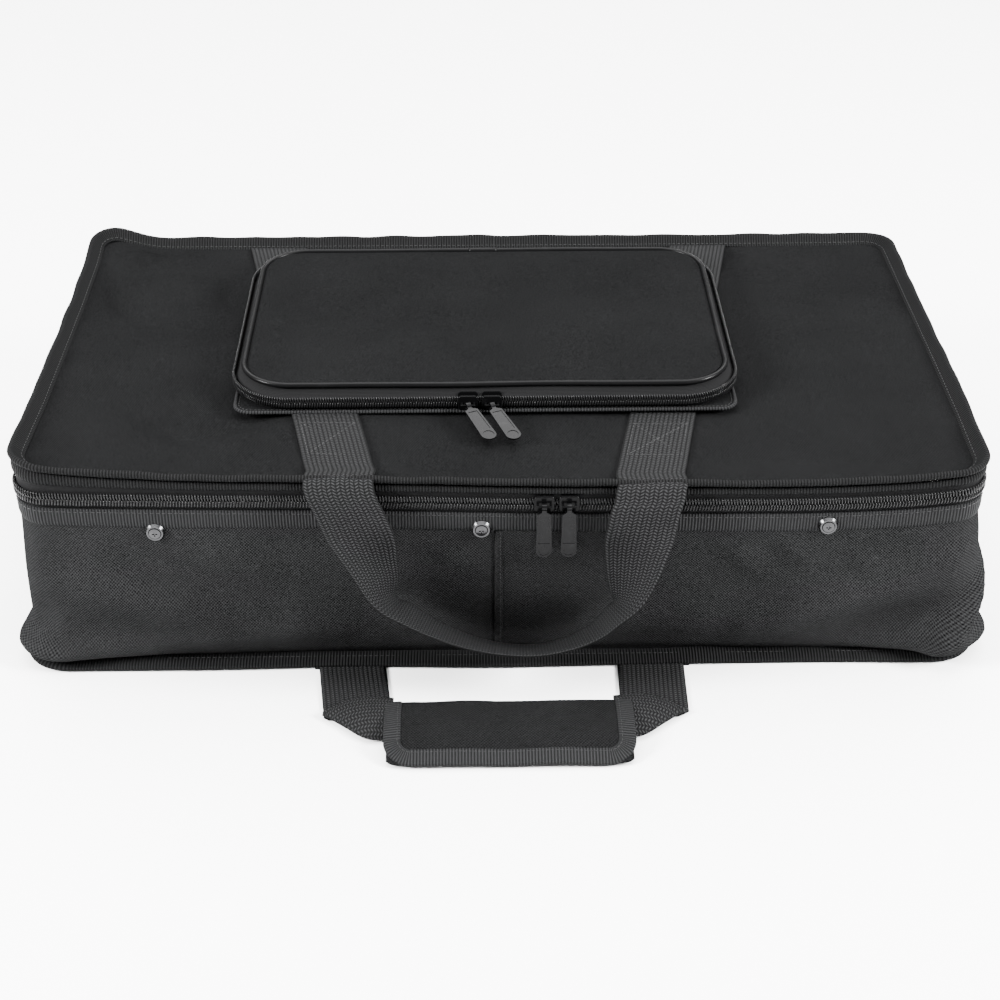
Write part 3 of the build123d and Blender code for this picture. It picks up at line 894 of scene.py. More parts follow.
        # the cloth hangs over the base seam, and turns in sharply where it is sewn
        foot = self._read(self.foot_at, s)
        tuck = foot * np.exp(-((z - FLOOR_TOP - 9 * MM) / (14 * MM)) ** 2)
        tuck = tuck - (4 * MM + np.maximum(foot, 0)) * np.exp(-((z - FLOOR_TOP) / (5 * MM)) ** 2)
        # near the left back corner the upper wall stands out, but not past the corner
        pinch = 7 * MM * (np.abs(u) < 742 * MM) * np.exp(-((u + 700 * MM) / (60 * MM)) ** 2)
        pinch = pinch * np.clip((z - 100 * MM) / (30 * MM), 0, 1)
        pinch = pinch * np.clip((RIM_TOP - 10 * MM - z) / (8 * MM), 0, 1)
        stands = belly + wrinkles * loose
        stands = np.where(stands < 0, -DEEPEST * np.tanh(-stands / DEEPEST), stands)
        return stands + tuck + pinch


LIE = Lie()


def round_bag(step: float = 3.5 * MM) -> Array:
    """Distances walked once round the bag, without the last."""
    count = int(BAG.length / step)
    return np.arange(count) * BAG.length / count


def zip_run() -> Array:
    """Distances walked along the zip, round its three sides."""
    step = 2.5 * MM
    start = BAG.side_start(ZIP_END)
    return np.linspace(start, BAG.length - start, int((BAG.length - 2 * start) / step))


def upright(name: str, s: Array, heights: Array, outs: Array, finish: Finish, closed: bool,
            thickness: float) -> bpy.types.Object:
    """A strip of cloth that stands round the bag.

    Args:
        name: the new object's name.
        s: distances walked.
        heights: heights on the square bag, from the bottom up.
        outs: how far out from the wall's face each height is.
        finish: the strip's finish.
        closed: whether it goes all the way round.
        thickness: the cloth's thickness.

    Returns:
        The object.
    """
    walk, level = np.meshgrid(s, heights, indexing="ij")
    out = LIE.out(walk, level) + outs[None]
    points = BAG.at(walk, out, LIE.height(walk, level))
    ends = np.append(s, s[-1] + s[1] - s[0]) if closed else s
    piece = grid(name, points, flat_places(heights - heights[0], ends), finish, closed)
    thicken(piece, thickness)
    return piece


def seam(s: Array, z: float, out: float) -> tuple[Array, Array]:
    """A line round the bag on its soft wall, with the outward direction along it."""
    return BAG.at(s, LIE.out(s, np.full_like(s, z)) + out, LIE.height(s, z)), BAG.normal(s)


# --- pieces -------------------------------------------------------------------------------------
def settle(piece: bpy.types.Object, body: str, replaces: Sequence[str] = ()) -> bpy.types.Object:
    """Makes a piece ride on a body and stand for CAD nodes."""
    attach(piece, body)
    if replaces:
        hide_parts(*replaces)
    log.info("%s rides on %s", piece.name, body)
    return piece


@dataclass
class Walls:
    """The base, the wall, its ribbed band and the bound base seam."""

    cloth: float = 1.4 * MM
    seam_x: float = -5 * MM

    def build(self) -> None:
        """Builds and dresses every piece of the lower half."""
        self._wall("left")
        self._wall("right")
        self._band()
        self._middle_seam()
        self._base_binding()
        self._base()

    def _wall(self, side: str) -> None:
        """One half of the wall: a sheet of cloth from the base seam to under the zip."""
        seam_front = BAG.front(self.seam_x)
        back_start = -self.seam_x
        s = (np.linspace(back_start, seam_front, 300) if side == "left"
             else np.linspace(seam_front, BAG.length + back_start, 300))
        heights = np.linspace(FLOOR_TOP - 1.5 * MM, BAND_TOP, 56)
        piece = upright(f"wall_{side}_cloth", s, heights, np.zeros(56), Finish.WALL_CLOTH,
                        False, self.cloth)
        settle(piece, "bag", [f"wall_{side}"])

    def _band(self) -> None:
        """The ribbed band below the zip, with its row of stitches."""
        s = round_bag()
        heights = np.linspace(BAND_LOW - 0.5 * MM, BAND_TOP, 9)
        outs = np.array([0.3, 1.0, 1.3, 1.4, 1.4, 1.4, 1.4, 1.3, 0.9]) * MM
        piece = upright("ribbed_band", s, heights, outs, Finish.RIBBED, True, 1.0 * MM)
        settle(piece, "bag", ["wall_top_band"])
        BAG.length
        line, out = seam(s, BAND_TOP - 2.4 * MM, 1.5 * MM)
        settle(stitches("band_stitches", line, out, True), "bag")

    def _middle_seam(self) -> None:
        """The upright lapped seam in the middle of the front and of the back."""
        for name, s0 in (("front", BAG.front(self.seam_x)), ("back", -self.seam_x)):
            z = np.linspace(FLOOR_TOP + 2 * MM, BAND_LOW - 1 * MM, 50)
            s = np.full_like(z, s0)
            out = BAG.normal(s)
            across = np.cross(out, UP)
            path = BAG.at(s, LIE.out(s, z) + 0.2 * MM, LIE.height(s, z))
            profile = np.array([[-0.9, -1.2], [-0.3, 0.6], [0, 0.9], [2.0, 0.7], [4.6, 0.45],
                                [5.6, -0.2], [3, -0.6]]) * MM
            lap = tube(f"{name}_lap", path, -across, out, profile[::-1], Finish.WALL_CLOTH, False)
            settle(lap, "bag")
            line = path - across * 3.6 * MM + out * 0.7 * MM
            settle(stitches(f"{name}_lap_stitches", line, out, pitch=3.6 * MM, length=2.6 * MM,
                            thread=0.45 * MM), "bag")

    def _base_binding(self) -> None:
        """The bound seam that lies on the floor as a flange round the base."""
        s = round_bag()
        wave = Ripples(8, 160 * MM).at(s, 0 * s) * 1.1 * MM
        base = float(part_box("base_binding")[0][2])
        path = BAG.at(s, 0.0, base)
        loop = smooth(np.array([[-6, 1.2], [-3, 0.2], [4, -0.6], [9.5, -0.9], [11, 0.4],
                                [10.6, 1.9], [8, 3.0], [2, 4.2], [-4, 4.4]]) * MM, 26)
        loops = np.broadcast_to(loop, (len(s), 26, 2)).copy()
        loops[..., 0] += wave[:, None] * np.clip(loops[..., 0] / (8 * MM), 0, 1)
        loops[..., 1] *= 1 + 0.15 * Ripples(9, 60 * MM).at(s, 0 * s)[:, None]
        up = everywhere(UP, path)
        piece = ribbon("base_flange_binding", path, BAG.normal(s), up, loops, Finish.RIM, True)
        settle(piece, "bag", ["base_binding"])
        BAG.length
        line = BAG.at(s, 2.0 * MM, base + 4.1 * MM)
        settle(stitches("flange_stitches", line, up, True), "bag")

    def _base(self) -> None:
        """The base cloth and the two webbing strips that lie flush in it."""
        low, high = box_corners("base_panel")
        outline = Outline(high[0] - low[0], high[1] - low[1], 32 * MM)
        piece = panel("base_cloth", outline, lambda x, y: 0.6 * MM + 0 * x, Finish.WALL_CLOTH,
                      60, 40)
        thicken(piece, 1.2 * MM, 1.0)
        settle(piece, "bag", ["base_panel"])
        for side in ("left", "right"):
            self._base_strap(side)

    def _base_strap(self, side: str) -> None:
        """One webbing strip under the base, slanting outwards to the back."""
        low, high = box_corners(f"base_webbing_{side}")
        sign = -1 if side == "left" else 1
        half, middle = (high - low) / 2, (low + high) / 2
        t = np.linspace(-1, 1, 60)
        path = np.stack([middle[0] + sign * (half[0] - STRAP_HALF) * t, middle[1] + half[1] * t,
                         0 * t + 0.75 * MM], -1)
        piece = webbing(f"base_strap_{side}", path, everywhere(ACROSS, path), 1.3 * MM)
        settle(piece, "bag", [f"base_webbing_{side}"])


def webbing(name: str, path: Array, wide: Array, thickness: float = 1.9 * MM) -> bpy.types.Object:
    """A flat strap carried along a path.

    Its section is a thin loop with thinner edges: half its width times (-1 to 1) across, and half
    its thickness either way. Its ends are drawn in to a point.

    Args:
        name: the new object's name.
        path: its middle line.
        wide: the direction of its width at each place.
        thickness: how thick it is.

    Returns:
        The object.
    """
    wide = unit(wide)
    face = unit(np.cross(wide, unit(np.gradient(path, axis=0))))
    count, thin = 15, 0.45
    t = np.concatenate([np.linspace(-1, 1, count), np.linspace(1, -1, count)])
    edge = np.repeat([0.5, -0.5], count)
    edge[[0, count - 1, count, -1]] *= thin
    across, deep = (t * STRAP_HALF)[None, :, None], (edge * thickness)[None, :, None]
    points = path[:, None] + across * wide[:, None] + deep * face[:, None]
    points = np.concatenate([points[:1].mean(1, keepdims=True) + 0 * points[:1], points,
                             points[-1:].mean(1, keepdims=True) + 0 * points[-1:]])
    along = run_length(path)
    along = np.concatenate([along[:1], along, along[-1:]])
    uv = flat_places(np.append(t, t[0]) * STRAP_HALF + STRAP_HALF, along)
    return grid(name, points, uv, Finish.WEBBING, False, True, True)


def panel(name: str, outline: Outline, height: Any, finish: Finish, columns: int,
          rows: int, back: float | None = None) -> bpy.types.Object:
    """A flat-lying sheet inside an outline.

    Each row runs the full width at its depth, which near the ends is shorter by the round corners,
    and height gives z at x, y. Rows and columns are spaced as a sine, so they are closer together
    near the edges.

    Args:
        name: the new object's name.
        outline: its edge.
        height: a function of x and y.
        finish: its finish.
        columns: points across.
        rows: points from front to back.
        back: where it is cut straight across, if it is.

    Returns:
        The object.
    """
    steepest = math.pi / 2 * 0.92
    across, down = (np.sin(np.linspace(-1, 1, count) * steepest) / math.sin(steepest)
                    for count in (columns, rows))
    low = -outline.depth / 2
    high = outline.depth / 2 if back is None else back - outline.middle[1]
    y = low + (high - low) * (down + 1) / 2
    short = np.clip(np.abs(y) - (outline.depth / 2 - outline.corner), 0, outline.corner)
    half = outline.width / 2 - outline.corner + np.sqrt(outline.corner ** 2 - short ** 2)
    x = across[:, None] * half[None] + outline.middle[0]
    y = np.broadcast_to(y[None] + outline.middle[1], x.shape)
    points = np.stack([x, y, np.broadcast_to(height(x, y), x.shape)], -1)
    return grid(name, points, points[..., :2], finish)


@dataclass(frozen=True)
class Coil:
    """A size of zip coil: a round wire wound as a flattened helix.

    Round each turn the wire's height is a cosine, and its depth a sine drawn to a smaller width,
    so each turn reads as one upright tooth with a head that meets the other row's.
    """

    pitch: float
    wire: float
    high: float
    deep: float
    apart: float
    proud: float

    def wind(self, name: str, outline: Outline, s: Array, side: int, chain: float,
             lie: Lie | None = None) -> bpy.types.Object:
        """One row.

        Args:
            name: the new object's name.
            outline: what it goes round.
            s: distances walked along the zip.
            side: 1 for the upper row and -1 for the lower.
            chain: the height at which the rows meet.
            lie: how the bag lies, if it isn't square.

        Returns:
            The object.
        """
        walk = np.arange(s[0], s[-1], self.pitch / 10)
        turn = TAU * walk / self.pitch + (math.pi if side > 0 else 0)
        middle = np.full_like(walk, chain + side * self.apart)
        out = self.proud + self.deep * np.sin(turn)
        level = middle + side * self.high * np.cos(turn)
        if lie:
            out = out + lie.out(walk, middle)
            level = level + lie.height(walk, middle) - middle
        path = outline.at(walk, out, level)
        run = unit(np.gradient(path, axis=0))
        first = unit(np.cross(run, outline.normal(walk) * 0.3 + UP))
        ring = circle(5, self.wire)
        return tube(name, path, first, np.cross(run, first), ring, Finish.COIL, False)


@dataclass
class Zip:
    """The main zip: two tapes and two rows of coil round three sides."""

    coil: Coil = Coil(2.15 * MM, 0.52 * MM, 2.5 * MM, 1.15 * MM, 2.35 * MM, 0.9 * MM)

    def build(self) -> None:
        """Builds both tapes and both rows."""
        s = zip_run()
        lower = np.array([BAND_TOP - 6 * MM, BAND_TOP, CHAIN - 4 * MM, CHAIN - 1.2 * MM])
        upper = np.array([CHAIN + 1.2 * MM, CHAIN + 4 * MM, CHAIN + 9 * MM, LID_TOP - 3 * MM])
        for name, heights, node, body in (("lower", lower, "zip_tape_lower", "bag"),
                                          ("upper", upper, "zip_tape_upper", "lid")):
            rows = np.interp(np.linspace(0, 3, 13), range(4), heights)
            piece = upright(f"{name}_zip_tape", s, rows, np.full(13, -0.5 * MM), Finish.TAPE,
                            False, 0.9 * MM)
            settle(piece, body, [node])
        for name, side, body in (("lower", -1, "bag"), ("upper", 1, "lid")):
            row = self.coil.wind(f"{name}_coil", BAG, s, side, CHAIN, LIE)
            settle(row, body, [f"zip_coil_{name}"])


@dataclass
class Lid:
    """The lid's cloth, its bound rim and its lining."""

    inset: float = 7 * MM
    reach: float = 60 * MM
    dents: Sequence[Crease] = (
        Crease((-290, -150), (-150, -70), 26, -3.2),
        Crease((-300, 60), (-215, 40), 30, -2.2),
        Crease((-230, 130), (-200, 70), 22, -2.6),
        Crease((-330, 120), (-300, 60), 14, -3.0),
        Crease((-300, -110), (-240, -150), 16, 2.0),
        Crease((-330, 150), (-290, 165), 14, 3.5),
        Crease((215, 160), (250, 120), 14, -3.0),
        Crease((196, 150), (210, 186), 10, -3.5),
        Crease((230, 20), (330, -40), 40, 1.6),
        Crease((-60, -150), (60, -165), 22, -1.6),
    )

    def build(self) -> None:
        """Builds the lid."""
        self._panel()
        self._rim()
        self._skirt()
        self._lining()

    def surface(self, x: Array, y: Array) -> Array:
        """The lid cloth's height at x, y.

        It is slack in the middle, and drawn down or up to the rim's seam within a few centimetres
        of each edge, by the mean of the four edges' drops, each weighted by how near it is.
        """
        hw, hd = BAG.width / 2, BAG.depth / 2
        gaps = {"front": y + hd, "back": hd - y, "left": x + hw, "right": hw - x}
        walks = {
            "front": BAG.front(0) + x,
            "left": BAG.side_start(0) - y,
            "right": BAG.length - BAG.side_start(0) + y,
            "back": np.where(x < 0, -x, BAG.length - x),
        }
        total, weight = 0.0, 1e-6
        for name, gap in gaps.items():
            share = np.exp(-np.maximum(gap - self.inset, 0) / self.reach)
            drop = LIE.height(walks[name], LID_TOP) - LID_TOP
            total = total + share ** 3 * drop
            weight = weight + share * share
        edge = total / weight
        slack = creased(self.dents, x, y) + Ripples(5, 120 * MM).at(x, y) * 0.7 * MM
        near = np.minimum.reduce(list(gaps.values()))
        inside = np.clip(near / (30 * MM), 0, 1)
        lowest = LID_TOP - 4.5 * MM - 8 * MM * np.exp(-near / (6 * MM))
        return np.maximum(LID_TOP + 0.4 * MM + edge + slack * inside, lowest)

    def _panel(self) -> None:
        """The top cloth."""
        outline = Outline(BAG.width - 8 * MM, BAG.depth - 8 * MM, BAG.corner - 4 * MM)
        piece = panel("lid_top_cloth", outline, self.surface, Finish.LID_CLOTH, 200, 130)
        thicken(piece, 1.4 * MM)
        settle(piece, "lid", ["lid_panel"])

    def _rim(self) -> None:
        """The bound rim: a folded ribbed tape that stands up round the lid and leans out."""
        s = round_bag(3 * MM)
        loop = smooth(np.array([[-6, -0.6], [-3, 0.6], [0.4, 2.6], [2.0, 4.0], [2.7, 5.8],
                                [2.0, 7.5], [0.2, 8.2], [-1.6, 7.4], [-3.6, 5.2], [-6.5, 2.2],
                                [-9, 0.2]]) * MM, 30)
        loops = np.broadcast_to(loop, (len(s), 30, 2)).copy()
        rough = Ripples(12, 45 * MM).at(s, 0 * s)
        loops[..., 0] += rough[:, None] * 0.5 * MM * np.clip(loops[..., 1] / (8 * MM), 0, 1)
        loops[..., 1] *= (1 + 0.06 * Ripples(13, 35 * MM).at(s, 0 * s))[:, None]
        path, _ = seam(s, LID_TOP, 0.0)
        up = everywhere(UP, path)
        piece = ribbon("rim_binding", path, BAG.normal(s), up, loops, Finish.RIM, True)
        settle(piece, "lid", ["lid_binding"])
        BAG.length
        line = path + BAG.normal(s) * -6.9 * MM + up * 2.2 * MM
        slope = BAG.normal(s) * -0.6 + up * 0.8
        settle(stitches("rim_stitches", line, slope, True), "lid")

    def _skirt(self) -> None:
        """The ribbed strip below the rim, that covers the top of the zip tape."""
        s = round_bag(3 * MM)
        skirt_low = float(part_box("lid_binding")[0][2])
        heights = np.linspace(skirt_low - 1 * MM, LID_TOP + 2 * MM, 9)
        outs = np.array([0.4, 1.2, 1.5, 1.6, 1.5, 1.3, 0.9, 0.2, -0.6]) * MM
        piece = upright("skirt_binding", s, heights, outs, Finish.RIM, True, 0.9 * MM)
        settle(piece, "lid")
        BAG.length

    def _lining(self) -> None:
        """The padded lining under the lid."""
        low, high = box_corners("lid_foam")
        outline = Outline(high[0] - low[0] - 12 * MM, high[1] - low[1] - 12 * MM, 18 * MM)

        def under(x: Array, y: Array) -> Array:
            """Flat, and turned up a little at the edges."""
            gap = np.minimum(outline.width / 2 - np.abs(x), outline.depth / 2 - np.abs(y))
            return low[2] - 0.7 * MM + 0.6 * MM * np.exp(-gap / (5 * MM))

        piece = panel("lid_lining", outline, under, Finish.LINING, 90, 60)
        piece.data.flip_normals()
        thicken(piece, 1.2 * MM)
        settle(piece, "lid", ["lid_foam"])


@dataclass
class HingeCloth:
    """The strip of cloth at the back that joins the wall to the lid."""

    def build(self) -> None:
        """Builds the strip."""
        start = BAG.side_start(ZIP_END)
        walk = np.linspace(-start, start, 160)
        heights = np.linspace(BAND_TOP - 2 * MM, LID_TOP + 1 * MM, 16)
        s, level = np.meshgrid(walk % BAG.length, heights, indexing="ij")
        points = BAG.at(s, LIE.out(s, level) - 0.3 * MM, LIE.height(s, level))
        piece = grid("back_hinge_cloth", points, flat_places(heights, walk), Finish.WALL_CLOTH)
        thicken(piece, 1.2 * MM)
        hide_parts("hinge_cloth")
        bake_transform(piece)


@dataclass
class CarryStrap:
    """The long strap: sewn over the lid at both ends and hanging as a loop over the front."""

    def build(self) -> None:
        """Builds the strap with its box stitches."""
        left = self._lid_run(-1)
        right = self._lid_run(1)
        loop = np.array([
            # place of the strap's middle in mm, then the direction of its width
            (-116, -204.5, 163.0, 1, 0, 0), (-114, -209.5, 157.0, 1, 0, 0),
            (-109, -213, 145, 1, 0, 0), (-103, -216, 130, 1, 0, 0),
            (-97, -219.0, 110.7, 0.84, 0.42, -0.34), (-91, -222.0, 93.5, 0.61, 0.66, -0.44),
            (-88, -224.0, 80.3, 0.39, 0.80, -0.46), (-82, -226.0, 72.3, 0.22, 0.89, -0.40),
            (-71, -227.0, 66.1, 0.13, 0.93, -0.34), (-52, -227.0, 52.8, 0.10, 0.91, -0.39),
            (-28, -227.0, 40.6, 0.07, 0.90, -0.43), (-1, -227.0, 32.8, 0.05, 0.89, -0.46),
            (27, -227.0, 31.5, 0.01, 0.89, -0.46), (51, -227.0, 38.1, -0.03, 0.90, -0.44),
            (69, -227.0, 48.9, -0.08, 0.91, -0.41), (81, -227.0, 62.3, -0.13, 0.92, -0.37),
            (89, -226.0, 70.1, -0.26, 0.87, -0.41), (92, -224.0, 78.9, -0.50, 0.75, -0.44),
            (94, -222.0, 92.9, -0.70, 0.60, -0.38), (96, -219.0, 109.2, -0.87, 0.40, -0.27),
            (99, -216, 129, -1, 0, 0), (102, -213, 144, -1, 0, 0),
            (104.5, -209.5, 156, -1, 0, 0), (106, -204.5, 160, -1, 0, 0),
        ])
        loop[:, :3] *= MM
        loop[0, 2], loop[1, 2] = left[-1, 2] - 2.5 * MM, left[-1, 2] - 9 * MM
        loop[-1, 2], loop[-2, 2] = right[-1, 2] - 2.5 * MM, right[-1, 2] - 9 * MM
        path = np.concatenate([left, loop, right[::-1] * np.array([1, 1, 1, -1, 1, 1])])
        samples = smooth(path, 460)
        piece = webbing("carry_strap", samples[:, :3], samples[:, 3:])
        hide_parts("lid_webbing_left", "lid_webbing_right", "upper_handle")
        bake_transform(piece)
        for side, name in ((-1, "left"), (1, "right")):
            self._box_stitch(side, name)

    @staticmethod
    def _ends(side: int) -> tuple[float, float]:
        """Where one side's middle line is at the back rim and at the front rim."""
        return (-190 * MM, -115.5 * MM) if side < 0 else (180 * MM, 107 * MM)

    def _lid_run(self, side: int) -> Array:
        """The sewn part on one side, from the back rim to over the front rim."""
        back, front = self._ends(side)
        y = np.array([187, 150, 100, 40, -20, -80, -120, -150, -172, -184]) * MM
        share = (y - y[-1]) / (y[0] - y[-1])
        x = front + (back - front) * share
        z = Lid().surface(x, y) + 1.2 * MM
        walk = BAG.front(front)
        top = float(LIE.height(np.array([walk]), RIM_TOP)[0]) + 1.6 * MM
        z[-1] = (z[-1] + top) / 2
        points = np.stack([x, y, z], -1)
        over = np.array([[front + 0.4 * side * MM, -193 * MM, top],
                         [front + 0.6 * side * MM, -199 * MM, top - 0.3 * MM]])
        points = np.concatenate([points, over])
        return np.concatenate([points, everywhere(ACROSS, points)], -1)

    def _box_stitch(self, side: int, name: str) -> None:
        """A sewn box with a cross in it, near the front end of one side."""
        back, front = self._ends(side)
        lean = (back - front) / (371 * MM)

        def at(u: float, y: float) -> list[float]:
            """A place on the strap, u across it and y from front to back, in mm."""
            x = front + lean * (y * MM + 184 * MM) + u * MM
            top = float(Lid().surface(np.array([x]), np.array([y * MM]))[0])
            return [x, y * MM, top + 2.3 * MM]

        turns = [at(u, y) for u, y in ((-20, -118), (20, -118), (20, -160), (-20, -160),
                                       (-20, -118), (20, -160), (20, -118), (-20, -160))]
        line = np.concatenate([np.linspace(a, b, 12) for a, b in zip(turns, turns[1:])])
        up = everywhere(UP, line)
        settle(stitches(f"box_stitch_{name}", line, up, thread=0.5 * MM), "lid")


@dataclass
class Pocket:
    """The flat pocket on the lid: its base, gusset, zip, piping and top."""

    outline: Outline = field(default_factory=lambda: Outline(
        *(float(v) for v in np.subtract(*reversed(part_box("pocket_wall")))[:2]), 45 * MM,
        flat_middle(*box_corners("pocket_wall"))))
    coil: Coil = Coil(1.9 * MM, 0.46 * MM, 2.2 * MM, 1.0 * MM, 2.0 * MM, 0.8 * MM)
    zip_end: float = field(default_factory=lambda: float(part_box("pocket_coil_lower")[1][1]))
    chain: float = field(default_factory=lambda: float(
        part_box("pocket_coil_lower")[0][2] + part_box("pocket_coil_upper")[1][2]) / 2)
    drawn: float = 8.5 * MM
    lift: float = 1.6 * MM

    def build(self) -> None:
        """Builds the pocket."""
        self._back()
        self._gusset()
        self._coils()
        self._top()
        self._piping()

    def _ring(self, s: Array, z: Array, out: Array, name: str,
              finish: Finish) -> bpy.types.Object:
        """An upright strip round the pocket."""
        walk, level = np.meshgrid(s, z, indexing="ij")
        points = self.outline.at(walk, out[None] + self._lean(level), level)
        return grid(name, points, flat_places(z - z[0], s), finish)

    def _lean(self, z: Array) -> Array:
        """How far the slack side has drawn in at a height: evenly from the zip up to the top."""
        top = self.chain + 9 * MM
        return -self.drawn * np.clip((z - self.chain) / (top - self.chain), 0, 1)

    def _run(self) -> Array:
        """Distances walked along the pocket's zip."""
        start = self.outline.side_start(self.zip_end)
        return np.linspace(start, self.outline.length - start, 300)

    def _back(self) -> None:
        """The pocket's base, sewn to the lid with small square corners and a stitched edge."""
        low, high = box_corners("pocket_back")
        x, y = flat_middle(low, high)
        edge = Outline(high[0] - low[0] + 2 * MM, high[1] - low[1] - 2 * MM, 12 * MM,
                       (x, y - 1.5 * MM))
        piece = panel("pocket_base_cloth", edge, lambda x, y: high[2] + 0.3 * MM + 0 * x,
                      Finish.LID_CLOTH, 60, 40)
        thicken(piece, 1.0 * MM)
        settle(piece, "lid", ["pocket_back"])
        s = np.arange(0, edge.length, 2.5 * MM)
        loop = smooth(np.array([[-1, -1.6], [1.2, -1.2], [1.6, 0.2], [0.6, 1.2], [-1, 0.9]]) * MM,
                      10, True)
        path = edge.at(s, 0.0, high[2])
        up = everywhere(UP, path)
        roll = tube("pocket_base_edge", path, edge.normal(s), up, loop, Finish.RIBBED, True)
        settle(roll, "lid")
        settle(stitches("pocket_base_stitches", edge.at(s, -2.6 * MM, high[2] + 0.6 * MM), up, True,
                        2.4 * MM, 3.2 * MM, 0.45 * MM), "lid")

    def _gusset(self) -> None:
        """The cloth below and above the pocket's zip, and the cloth hinge at its back."""
        low = float(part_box("pocket_back")[1][2])
        s = self._run()
        strips = (
            ("pocket_gusset_lower", "lid", ["pocket_tape_lower"], Finish.TAPE,
             [low, low + 0.8 * MM, low + 3.4 * MM, self.chain - 1.4 * MM],
             [-8.0 * MM, -0.8 * MM, -0.2 * MM, -0.4 * MM]),
            ("pocket_gusset_upper", "pocket_flap", ["pocket_tape_upper"], Finish.TAPE,
             [self.chain + 1.4 * MM, self.chain + 4.5 * MM, self.chain + 7.6 * MM + self.lift,
              self.chain + 8.0 * MM + self.lift],
             [-0.4 * MM, -0.2 * MM, -0.4 * MM, -6.0 * MM]),
        )
        for name, body, nodes, finish, heights, outs in strips:
            rows = smooth(np.stack([heights, outs], -1), 14)
            piece = self._ring(s, rows[:, 0], rows[:, 1], name, finish)
            thicken(piece, 0.8 * MM)
            settle(piece, body, nodes)
        start = self.outline.side_start(self.zip_end)
        walk = np.linspace(-start, start, 90)
        top = float(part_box("pocket_top")[0][2]) + self.lift
        z = np.linspace(low, top, 12)
        out = -0.8 * MM + 0.8 * MM * np.sin((z - low) / (top - low) * math.pi)
        back = self._ring(walk, z, out, "pocket_back_cloth", Finish.LID_CLOTH)
        thicken(back, 0.9 * MM)
        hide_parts("pocket_wall")
        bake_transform(back)

    def _coils(self) -> None:
        """The pocket zip's two rows of coil."""
        for name, side, body in (("lower", -1, "lid"), ("upper", 1, "pocket_flap")):
            row = self.coil.wind(f"pocket_{name}_coil", self.outline, self._run(), side, self.chain)
            settle(row, body, [f"pocket_coil_{name}"])

    def _top(self) -> None:
        """The top cloth, a little crowned, with slack dents."""
        low, high = box_corners("pocket_top")
        width, depth = (high - low)[:2] - 2 * self.drawn
        edge = Outline(width, depth, 43.8 * MM - self.drawn, flat_middle(low, high))
        dents = (
            Crease((-150, 70), (-120, 20), 30, -1.6), Crease((-60, -40), (-20, -70), 14, 1.6),
            Crease((60, 110), (110, 60), 18, -1.8), Crease((110, 100), (150, 50), 16, 1.4),
            Crease((100, -40), (150, 0), 20, 1.5), Crease((-100, 110), (-40, 60), 24, 1.2),
        )

        def crown(x: Array, y: Array) -> Array:
            """Drawn down to the piping's seam, full just inside it, and slack in the middle."""
            gx = edge.width / 2 - np.abs(x - edge.middle[0])
            gy = edge.depth / 2 - np.abs(y - edge.middle[1])
            gap = 1 / (1 / np.maximum(gx, 1e-5) + 1 / np.maximum(gy, 1e-5))
            full = 1 - np.exp(-gap / (9 * MM))
            slack = creased(dents, x, y) + Ripples(21, 90 * MM).at(x, y) * 0.5 * MM
            return high[2] - 0.8 * MM + self.lift + full * 2.2 * MM + slack * full

        piece = panel("pocket_top_cloth", edge, crown, Finish.LID_CLOTH, 130, 90)
        thicken(piece, 1.2 * MM)
        settle(piece, "pocket_flap", ["pocket_top"])

    def _piping(self) -> None:
        """The PVC piping round the top, with a short sleeve over the join at its back."""
        low, high = box_corners("pocket_piping")
        s = np.arange(0, self.outline.length, 2.5 * MM)
        wave = Ripples(31, 140 * MM).at(s, 0 * s)
        out = 1.1 * MM - self.drawn
        middle = float(low[2] + high[2]) / 2 + self.lift
        path = self.outline.at(s, out + wave * 0.3 * MM, middle)
        up = everywhere(UP, path)
        ring = circle(14, 2.1 * MM)
        piece = tube("pocket_piping_cord", path, self.outline.normal(s), up, ring,
                     Finish.PIPING, True)
        settle(piece, "pocket_flap", ["pocket_piping"])
        lap = np.linspace(-12 * MM, 12 * MM, 12)
        over = self.outline.at(lap, out, middle)
        sleeve = tube("piping_joint", over, self.outline.normal(lap), up[:12], ring * 1.18,
                      Finish.PIPING, False)
        settle(sleeve, "pocket_flap")


